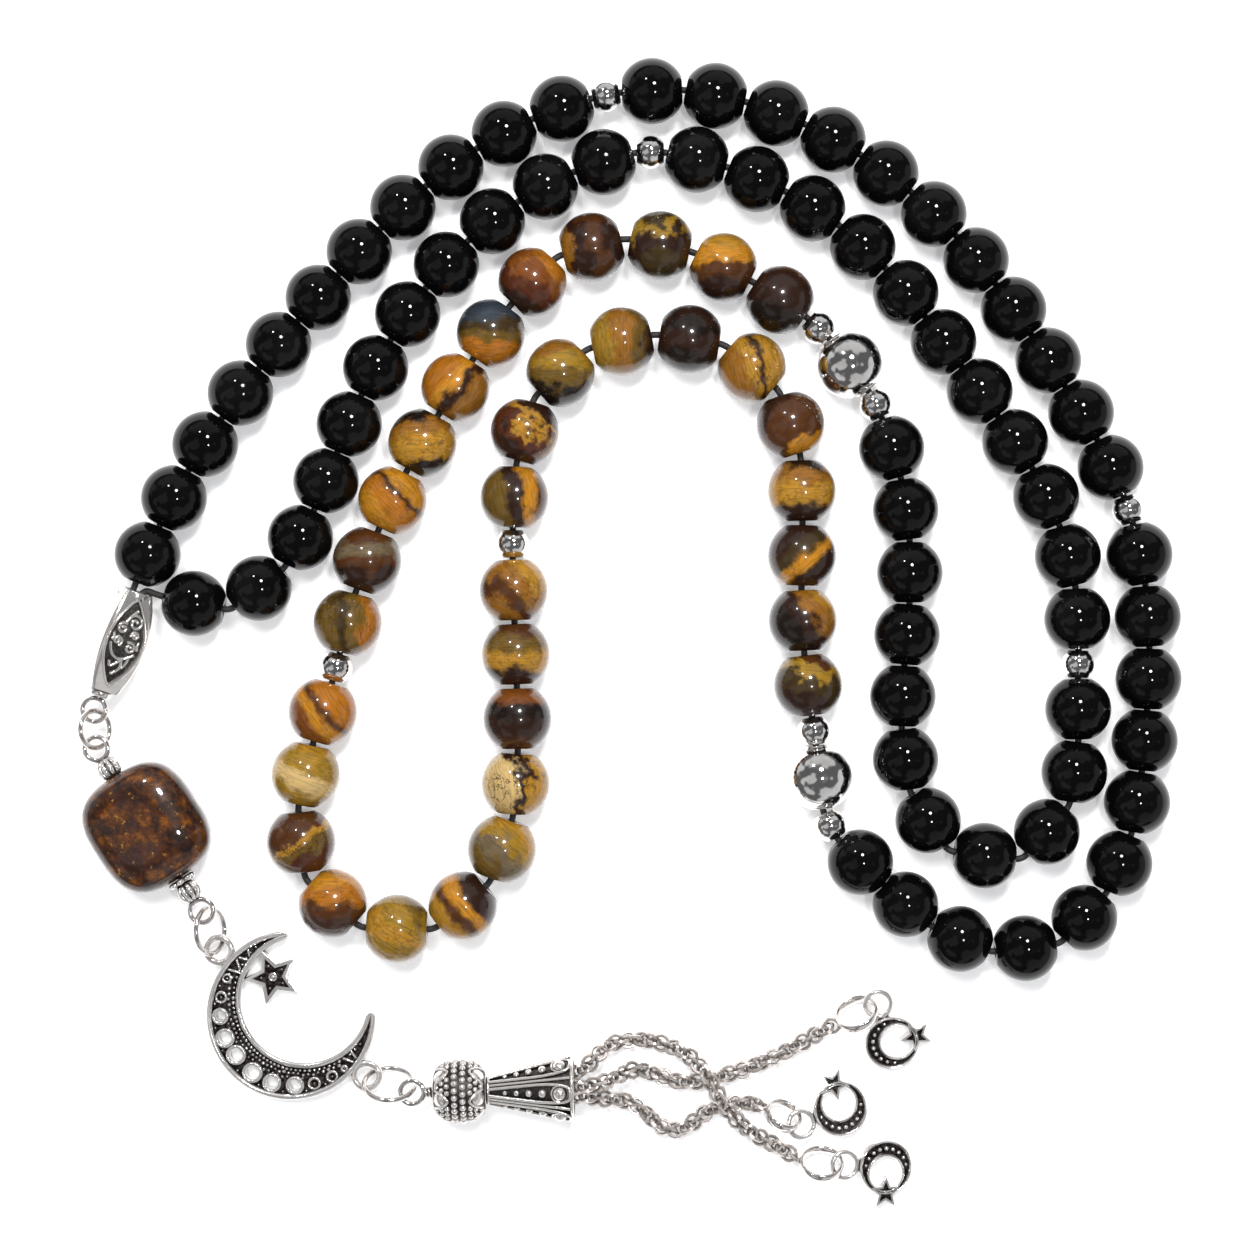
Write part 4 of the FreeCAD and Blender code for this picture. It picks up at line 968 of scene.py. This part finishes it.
fluted_look = aged_silver("fluted_silver", (0.80, 0.77, 0.74), (0.03, 0.022, 0.02), 0.10, 0.0008, 0.9)
FLUTES = 10
flute_core = turned([(0.36, -1.0)] + arc(0.45, 0, 0.75, -75, 75, 10) + [(0.36, 1.0)], 30)
for which in ("upper", "lower"):
    node = f"nugget_{which}_bead"
    at = standing(joint_at(node + "_spin"), nugget_along)
    bm = new_bmesh()
    add_shape(bm, flute_core, at, 0.6)
    for step in range(FLUTES):
        turn = math.tau * step / FLUTES
        rib = [
            (reach * math.cos(turn), reach * math.sin(turn), height)
            for reach, height in ((0.62, -1.0), (1.0, -0.8), (1.22, 0), (1.0, 0.8), (0.62, 1.0))
        ]
        add_shape(bm, wire_along(rib, 0.27), at)
    for height in (-0.93, 0.93):
        add_shape(bm, wire_ring(1.75, 0.26, 28, 10), at @ Matrix.Translation((0, 0, height)))
    new_piece(f"{node}_fluted", bm, [fluted_look], node, "antique_silver", node)

at = standing(joint_at("nugget_cap_spin"), nugget_along)
bm = new_bmesh()
add_shape(bm, turned([(0.36, -0.35), (1.25, -0.38), (1.5, 0.0), (1.25, 0.3), (0.36, 0.35)], 30), at, 0.7)
PETALS = 8
for step in range(PETALS):
    turn = math.tau * step / PETALS
    petal = Matrix.Translation((1.32 * math.cos(turn), 1.32 * math.sin(turn), 0))
    add_shape(bm, small_ball(0.5), at @ petal @ Matrix.Scale(0.8, 4, (0, 0, 1)))
add_shape(bm, wire_ring(1.5, 0.34, 24, 10), at @ Matrix.Translation((0, 0, 0.28)))
new_piece("nugget_cap_cast", bm, [fluted_look], "nugget_cap", "antique_silver", "nugget_cap")

# ---------------------------------------------------------------- crescent pendant
# A flat silver casting: a pierced crescent with beaded relief between two raised rims, a
# star soldered inside its upper horn, and a cast eye at each end for the link rings.
crescent_look = aged_silver(
    "crescent_silver", (0.82, 0.79, 0.765), (0.016, 0.011, 0.010), 0.13, 0.0009, 1.0
)
OUTER = 10.3
INNER = 7.75
INNER_OFFSET = 2.5
BOW_AT = 50.0
HEIGHT = 2.4
RIM = 0.62
SINK = 0.7
EYE_ANGLES = (138.6, -38.3)
EYE_OUT = 11.85
FULL_ROUND = 360


def flat_place(angle, reach, height=0.0):
    """A point at an angle in degrees and a distance from the middle."""
    return Vector((reach * math.cos(math.radians(angle)), reach * math.sin(math.radians(angle)), height))


# the pendant's turn follows from the line between its two eyes
upper_eye = joint_at("crescent_swing")
eye_line = joint_at("lower_link_swing") - upper_eye
first_drawn, last_drawn = (flat_place(angle, EYE_OUT) * MM for angle in EYE_ANGLES)
drawn_line = last_drawn - first_drawn
turn_by = math.atan2(eye_line.y, eye_line.x) - math.atan2(drawn_line.y, drawn_line.x)
crescent_middle = upper_eye - Matrix.Rotation(turn_by, 3, "Z") @ first_drawn
crescent_middle.z = 0
crescent_at = (
    Matrix.Translation(crescent_middle) @ Matrix.Rotation(turn_by, 4, "Z") @ Matrix.Scale(MM, 4)
)


def inner_edge(angle, inner, offset, bow):
    """How far the inner round is from the outer round's middle, along a direction."""
    towards = offset * math.cos(math.radians(angle - bow))
    return towards + math.sqrt(inner**2 - offset**2 + towards**2)


def crescent_sheet(outer, inner, offset, bow, first, last, height, rim, sink, along, across, holes=()):
    """The solid crescent with its raised rims; holes are cut where (x, y, radius) say."""
    bm = new_bmesh()
    horned = last - first < FULL_ROUND
    bmesh.ops.create_grid(bm, x_segments=along, y_segments=across, size=1)
    for point in bm.verts:
        angle = (first + last) / 2 + (last - first) / 2 * point.co.x
        low = inner_edge(angle, inner, offset, bow)
        # the horns end in a round point
        past = max(0.0, (abs(point.co.x) - 0.965) / 0.035) if horned else 0.0
        narrow = math.sqrt(max(0.0, 1.0 - past * past)) * 0.98 + 0.02 if past else 1.0
        reach = (low + outer) / 2 + (outer - low) / 2 * point.co.y * narrow
        point.co = flat_place(angle, reach, height)
    if not horned:
        bmesh.ops.remove_doubles(bm, verts=bm.verts, dist=1e-4)
    gone = [
        face
        for face in bm.faces
        if any((face.calc_center_median().xy - Vector((x, y))).length < cut for x, y, cut in holes)
    ]
    bmesh.ops.delete(bm, geom=gone, context="FACES")
    grown = bmesh.ops.extrude_face_region(bm, geom=list(bm.faces), use_keep_orig=True)
    lifted = {item for item in grown["geom"] if isinstance(item, bmesh.types.BMVert)}
    for point in bm.verts:
        if point not in lifted:
            point.co.z = 0.0
    layer = bm.verts.layers.float["tarnish"]
    bow_middle = flat_place(bow, offset).xy
    for point in lifted:
        reach = point.co.xy.length
        edge = min(outer - reach, (point.co.xy - bow_middle).length - inner)
        if horned:
            angle = math.degrees(math.atan2(point.co.y, point.co.x))
            apart = abs((angle - (first + last) / 2 + 180) % 360 - 180)
            edge = min(edge, math.radians((last - first) / 2 - apart) * reach + rim)
        if edge < rim:
            # a rounded bead along the edge
            part = edge / rim
            point.co.z = height - 0.20 * (2 * part - 1) ** 2
            point[layer] = 0.0
        else:
            slope = min(1.0, (edge - rim) / 0.12)
            point.co.z = height - 0.05 - sink * slope
            point[layer] = 0.35 + 0.65 * slope
    return as_mesh(bm)


def star_shape(radius, height, turn, rim, waist=0.47):
    """A cast five-pointed star with a raised rim round a sunk blackened field."""
    bm = new_bmesh()
    bmesh.ops.create_circle(bm, cap_ends=True, segments=10, radius=1)
    bm.verts.ensure_lookup_table()
    for index, point in enumerate(bm.verts):
        angle = math.radians(turn + 36 * index)
        reach = radius if index % 2 == 0 else radius * waist
        point.co = (reach * math.cos(angle), reach * math.sin(angle), 0)
    top = bmesh.ops.extrude_face_region(bm, geom=list(bm.faces), use_keep_orig=True)["geom"]
    top_points = [item for item in top if isinstance(item, bmesh.types.BMVert)]
    bmesh.ops.translate(bm, verts=top_points, vec=(0, 0, height))
    bmesh.ops.bevel(
        bm,
        geom=[edge for edge in bm.edges if all(abs(v.co.z - height) < 1e-6 for v in edge.verts)],
        offset=radius * 0.025,
        segments=2,
        profile=0.5,
        affect="EDGES",
        material=-1,
    )
    field = max(bm.faces, key=lambda face: (round(face.calc_center_median().z, 4), face.calc_area()))
    layer = bm.verts.layers.float["tarnish"]
    for factor, sink, age in ((1 - rim, 0.0, 0.0), (0.96, height * 0.25, 1.0)):
        field = bmesh.ops.extrude_discrete_faces(bm, faces=[field])["faces"][0]
        bmesh.ops.scale(bm, vec=(factor, factor, 1), verts=field.verts)
        bmesh.ops.translate(bm, vec=(0, 0, -sink), verts=field.verts)
        for point in field.verts:
            point[layer] = age
    return as_mesh(bm)


# ring-holes round the outer side: their angles and how wide each collar is
COLLARS = [
    (181.6, 8.65, 1.05, True), (199.8, 8.55, 1.22, True), (216.4, 8.30, 1.25, True),
    (236.6, 8.45, 1.28, True), (254.6, 8.60, 1.18, True), (273.6, 8.60, 1.15, True),
    (166.5, 8.85, 0.80, False), (289.0, 8.85, 0.85, False), (304.0, 9.05, 0.80, False),
    (151.0, 9.05, 0.66, False), (315.0, 9.25, 0.50, False),
]
holes = []
for angle, reach, collar, pierced in COLLARS:
    if pierced:
        holes.append((*flat_place(angle, reach).xy, collar - 0.25))
sheet = crescent_sheet(
    OUTER, INNER, INNER_OFFSET, BOW_AT, 92.5, 362.5, HEIGHT, RIM, SINK, 330, 44, holes
)
bm = new_bmesh()
add_shape(bm, sheet, crescent_at, None)
for angle, reach, collar, pierced in COLLARS:
    at = crescent_at @ Matrix.Translation(flat_place(angle, reach))
    if pierced:
        inside = collar - 0.42
        tube = (
            [(inside, 0.05), (collar - 0.08, 0.05), (collar, HEIGHT - SINK)]
            + arc(collar - 0.21, HEIGHT - 0.32, 0.21, 0, 180, 8)
            + [(inside, HEIGHT - SINK)]
        )
        add_shape(bm, turned(tube, 28), at)
    else:
        rim_ring = wire_ring(2 * collar, 0.34, 22, 10)
        add_shape(bm, rim_ring, at @ Matrix.Translation((0, 0, HEIGHT - SINK + 0.08)))
        add_shape(bm, small_ball(0.13), at @ Matrix.Translation((0, 0, HEIGHT - SINK)))
scatter = random.Random(7)
granule = small_ball(1.0)


def granule_at(bm, angle, reach, size, tarnish=0.0):
    place = Matrix.Translation(flat_place(angle, reach, HEIGHT - SINK + size * 0.35))
    add_shape(bm, granule, crescent_at @ place @ Matrix.Scale(size, 4), tarnish)


angle = 118.0
while angle < 341.0:
    low = inner_edge(angle, INNER, INNER_OFFSET, BOW_AT)
    room = OUTER - low
    if room > 1.8:
        granule_at(bm, angle, low + RIM + 0.36, 0.20 + scatter.uniform(-0.03, 0.05))
    if room > 3.2:
        reach = low + RIM + 0.92 + scatter.uniform(-0.1, 0.1)
        granule_at(bm, angle + 2.2, reach, scatter.uniform(0.14, 0.24))
    if room > 4.4:
        reach = low + RIM + 1.45 + scatter.uniform(-0.12, 0.12)
        granule_at(bm, angle + 1.1, reach, scatter.uniform(0.12, 0.20), 0.3)
    angle += 4.6 if room > 3.0 else 5.6
# small granules fill the corners along the outer side
for angle in (172.5, 190.5, 208.0, 226.5, 245.5, 264.2, 281.5, 296.8, 158.5):
    granule_at(bm, angle, 9.45, 0.17)
# marks on the horns: short bars like a ladder
for angle, tilt in ((143, 20), (137, -25), (131, 30), (125, -20), (322, 15), (328, -20)):
    low = inner_edge(angle, INNER, INNER_OFFSET, BOW_AT)
    middle = flat_place(angle, (low + OUTER) / 2, HEIGHT - SINK + 0.12)
    half = (OUTER - low) / 2 - RIM - 0.12
    if half > 0.15:
        arm = flat_place(angle + tilt, half)
        bar = [middle - arm, middle + Vector((0, 0, 0.14)), middle + arm]
        add_shape(bm, wire_along(bar, 0.16), crescent_at)
STAR_TURN = 41
star_at = crescent_at @ Matrix.Translation((-2.3, 4.6, 0))
add_shape(bm, star_shape(3.5, 2.2, STAR_TURN, 0.26), star_at, None)
for index in range(5):
    dot = Matrix.Translation(flat_place(STAR_TURN + 72 * index, 1.45, 1.72))
    add_shape(bm, small_ball(0.17), star_at @ dot)
add_shape(bm, wire_ring(1.1, 0.26, 20, 8), star_at @ Matrix.Translation((0, 0, 1.78)))
add_shape(bm, small_ball(0.30), star_at @ Matrix.Translation((0, 0, 1.82)))
cast_eye = wire_ring(3.9, 0.82, 40, 14)
for angle in EYE_ANGLES:
    add_shape(bm, cast_eye, crescent_at @ Matrix.Translation(flat_place(angle, EYE_OUT, 1.9)))
new_piece("crescent_cast", bm, [crescent_look], "crescent", "antique_silver", "crescent_pendant")

# ---------------------------------------------------------------- tassel pin, round bead and cone
# A wrapped pin carries a granulated round bead and an open cast cone. The cone's ribs part
# six pointed panels, each with a row of balls that grow towards the mouth.
tassel_look = aged_silver("tassel_silver", (0.80, 0.765, 0.735), (0.014, 0.010, 0.009), 0.14, 0.0009, 1.0)
tassel_eye = joint_at("tassel_swing")
tassel_along = joint_along("tassel_cone_spin")
WRAP_LENGTH = 0.8
BEAD_LENGTH = 6.4
INNER_EYE_BACK = 6.6
bead_from = EYE_DIA / 2 + WRAP_LENGTH + SEAT_GAP
cone_from = bead_from + BEAD_LENGTH + SEAT_GAP
pin_end = cone_from + CONE_LENGTH - INNER_EYE_BACK + EYE_REACH
bm = new_bmesh()
at = standing(tassel_eye, tassel_along)
add_shape(bm, eye_shape, at @ lying)
add_shape(bm, rod(PIN_DIA, EYE_REACH, pin_end - EYE_REACH), at)
add_shape(bm, eye_shape, at @ Matrix.Translation((0, 0, pin_end)) @ lying)
add_shape(bm, coil(1.05, 0.42, EYE_DIA / 2 - 0.1, 2.2), at)
new_piece("tassel_pin_wire", bm, [wire_look], "tassel", "bright_silver", "tassel_pin")

# round bead: two rows of balls at the equator, triangles of granules, plain lobes between
FIELDS = 6
bm = new_bmesh()
at = standing(joint_at("tassel_round_bead_spin"), tassel_along, 12)
half = BEAD_LENGTH / 2


def bead_reach(height):
    """The round bead's core radius at a height from its equator."""
    return 1.45 + 2.15 * math.sqrt(max(0.0, 1 - (height / (half + 0.12)) ** 2))


heights = [-half + 0.1 + (BEAD_LENGTH - 0.2) * step / 24 for step in range(25)]
core = [(bead_reach(height), height) for height in heights]
add_shape(bm, turned([(0.37, -half + 0.05)] + core + [(0.37, half - 0.05)], 64), at, 0.95)
row_ball = small_ball(0.43)
BALLS_IN_ROW = 26
for height, stagger in ((-0.5, 0), (0.5, 0.5)):
    for step in range(BALLS_IN_ROW):
        turn = math.tau * (step + stagger) / BALLS_IN_ROW
        ball_at = Matrix.Translation((3.52 * math.cos(turn), 3.52 * math.sin(turn), height))
        add_shape(bm, row_ball, at @ ball_at)
small_granule = small_ball(0.36)
for end in (1, -1):
    for field in range(FIELDS):
        middle = math.tau * field / FIELDS
        for row, count in enumerate((3, 2, 1)):
            height = end * (1.38 + 0.62 * row)
            reach = bead_reach(height) - 0.02
            for step in range(count):
                turn = middle + (step - (count - 1) / 2) * 0.80 / reach
                ball_at = Matrix.Translation((reach * math.cos(turn), reach * math.sin(turn), height))
                add_shape(bm, small_granule, at @ ball_at)
        # the raised border of the plain lobe beside each triangle
        lobe = []
        for step in range(13):
            part = step / 12 * 2 - 1
            turn = middle + math.pi / FIELDS + part * 0.80 * math.pi / FIELDS
            height = end * (2.85 - 1.55 * (1 - abs(part) ** 1.4))
            reach = bead_reach(height) + 0.16
            lobe.append((reach * math.cos(turn), reach * math.sin(turn), height))
        add_shape(bm, wire_along(lobe, 0.17), at)
        plate_height = end * 2.25
        plate = (
            Matrix.Rotation(middle + math.pi / FIELDS, 4, "Z")
            @ Matrix.Translation((bead_reach(plate_height) - 0.28, 0, plate_height))
            @ Matrix.Rotation(math.radians(-38 * end), 4, "Y")
            @ Matrix.Diagonal((0.42, 1.05, 0.95, 1))
        )
        add_shape(bm, small_ball(1.0, 3), at @ plate)
    add_shape(bm, wire_ring(3.5, 0.5, 40, 10), at @ Matrix.Translation((0, 0, end * (half - 0.18))))
node = "tassel_round_bead"
new_piece("tassel_round_bead_cast", bm, [tassel_look], node, "antique_silver", node)

CONE_NECK = 3.4
PANELS = 6
BOSS_AT = 8.95
CONE_ROLL = 92
cone_at = standing(tassel_eye, tassel_along, CONE_ROLL) @ Matrix.Translation((0, 0, cone_from))


def cone_reach(height):
    """The cone's outer radius at a height above its neck."""
    return (CONE_NECK + (CONE_MOUTH - CONE_NECK) * height / CONE_LENGTH) / 2


bm = new_bmesh()
skin = 0.42
wall = [(cone_reach(CONE_LENGTH * step / 12) - skin, CONE_LENGTH * step / 12) for step in range(13)]
hollow = [(cone_reach(CONE_LENGTH) - 0.78, CONE_LENGTH), (cone_reach(1.6) - 0.70, 1.6), (0.4, 1.5)]
add_shape(bm, turned([(0.4, 0)] + wall + hollow, 72), cone_at, 0.95)
add_shape(bm, wire_ring(CONE_NECK, 0.5, 40, 12), cone_at @ Matrix.Translation((0, 0, 0.22)))
mouth_rim = wire_ring(CONE_MOUTH - 0.35, 0.45, 64, 12)
add_shape(bm, mouth_rim, cone_at @ Matrix.Translation((0, 0, CONE_LENGTH - 0.2)))
for panel in range(PANELS):
    middle = math.tau * panel / PANELS
    share = math.pi / PANELS
    # the pointed panel's raised border, open at the neck and round at the mouth
    border = []
    for step in range(25):
        part = step / 24 * 2 - 1
        height = 0.35 + (CONE_LENGTH - 0.75) * (1 - abs(part) ** 3.2)
        reach = cone_reach(height) - 0.20
        wide = min(0.34 + 0.115 * height, 1.6) / reach
        side = wide * math.copysign(min(1.0, abs(part) * 1.35) ** 0.75, part)
        border.append((reach * math.cos(middle + side), reach * math.sin(middle + side), height))
    add_shape(bm, wire_along(border, 0.20), cone_at)
    # a rib between this panel and the next
    rib = []
    for step in range(9):
        height = 0.3 + (CONE_LENGTH - 0.7) * step / 8
        reach = cone_reach(height) - 0.26
        rib.append((reach * math.cos(middle + share), reach * math.sin(middle + share), height))
    add_shape(bm, wire_along(rib, 0.19), cone_at)
    for height, size in ((2.3, 0.30), (3.7, 0.36), (5.2, 0.43), (6.85, 0.52), (BOSS_AT, 0.88)):
        reach = cone_reach(height) - 0.12 - size * 0.45
        place = Matrix.Translation((reach * math.cos(middle), reach * math.sin(middle), height))
        add_shape(bm, small_ball(size, 3), cone_at @ place)
    reach = cone_reach(BOSS_AT) - 0.30
    collar = (
        Matrix.Translation((reach * math.cos(middle), reach * math.sin(middle), BOSS_AT))
        @ Matrix.Rotation(middle, 4, "Z")
        @ Matrix.Rotation(math.radians(90), 4, "Y")
    )
    add_shape(bm, wire_ring(2.25, 0.26, 28, 8), cone_at @ collar)
new_piece("tassel_cone_cast", bm, [tassel_look], "tassel_cone", "antique_silver", "tassel_cone")

# ---------------------------------------------------------------- band rings and star charms
# A wide flat-wire ring ends each chain and carries a small cast charm, a crescent closed
# by a star, hung by its own eye.
BAND_DIAS = {1: 5.4, 2: 5.4, 3: 4.6}
BAND_WALL = 0.42
BAND_WIDTH = 1.2
BAND_SOFT = 0.14
CHARM_OUTER = 3.35
CHARM_INNER = 2.05
CHARM_OFFSET = 0.75
STAR_AT = 86.0
CHARM_HEIGHT = 1.2
CHARM_EYE_OUT = 5.2
charm_sheet = crescent_sheet(
    CHARM_OUTER, CHARM_INNER, CHARM_OFFSET, STAR_AT, 0, FULL_ROUND, CHARM_HEIGHT, 0.30, 0.32, 130, 20
)
for number, dia in BAND_DIAS.items():
    node = f"chain_end_ring_{number}"
    middle, axis = ring_pose(node)
    outside, inside, up = dia / 2, dia / 2 - BAND_WALL, BAND_WIDTH / 2
    band = (
        [(inside, BAND_SOFT - up), (inside + BAND_SOFT, -up), (outside - BAND_SOFT, -up)]
        + [(outside, BAND_SOFT - up), (outside + 0.03, 0), (outside, up - BAND_SOFT)]
        + [(outside - BAND_SOFT, up), (inside + BAND_SOFT, up), (inside, up - BAND_SOFT)]
    )
    bm = new_bmesh()
    add_shape(bm, turned(band, 48), standing(middle, axis))
    new_piece(f"{node}_band", bm, [wire_look], node, "bright_silver", node, sharp=60)

    charm = f"star_charm_{number}"
    # the charm's plane, and the side its star is on, come from its own points
    eye = joint_at(charm + "_swing")
    arms = [point.co - eye for point in frame["nodes"][charm].data.vertices]
    _middle, axis = ring_pose(charm)
    along = sum((arm for arm in arms if arm.length > CHARM_EYE_OUT * MM + 0.0003), Vector())
    along = (along - axis * along.dot(axis)).normalized()
    left = axis.cross(along)
    y_axis = -left if sum(arm.dot(left) for arm in arms) < 0 else left
    z_axis = along.cross(y_axis)
    turn = Matrix((along, y_axis, z_axis)).transposed().to_4x4()
    charm_at = Matrix.Translation(eye) @ turn @ Matrix.Scale(MM, 4)
    charm_at = charm_at @ Matrix.Translation((CHARM_EYE_OUT, 0, 0))
    bm = new_bmesh()
    # a charm that lies the other way round is the mirror image, so its relief is still on top
    face_up = 1 if z_axis.z > 0 else -1
    mirrored = Matrix.Scale(face_up, 4, (0, 0, 1))
    base = -face_up * CHARM_HEIGHT / 2
    add_shape(bm, charm_sheet, charm_at @ Matrix.Translation((0, 0, base)) @ mirrored, None)
    top = face_up * (CHARM_HEIGHT / 2 - 0.3)
    for step in range(-4, 5):
        angle = STAR_AT + 180 + step * 21
        reach = (inner_edge(angle, CHARM_INNER, CHARM_OFFSET, STAR_AT) + CHARM_OUTER) / 2
        dot = Matrix.Translation(flat_place(angle, reach, top))
        add_shape(bm, small_ball(0.30 - 0.022 * abs(step)), charm_at @ dot)
    star_reach = (CHARM_OUTER + CHARM_INNER + CHARM_OFFSET) / 2
    star_place = charm_at @ Matrix.Translation(flat_place(STAR_AT, star_reach, base)) @ mirrored
    add_shape(bm, star_shape(2.05, CHARM_HEIGHT, STAR_AT + 180, 0.28, 0.45), star_place, None)
    add_shape(bm, small_ball(0.24), star_place @ Matrix.Translation((0, 0, CHARM_HEIGHT - 0.2)))
    add_shape(bm, wire_ring(3.8, 0.62, 32, 12), charm_at @ Matrix.Translation((-CHARM_EYE_OUT, 0, 0)))
    new_piece(f"{charm}_cast", bm, [crescent_look], charm, "antique_silver", charm)
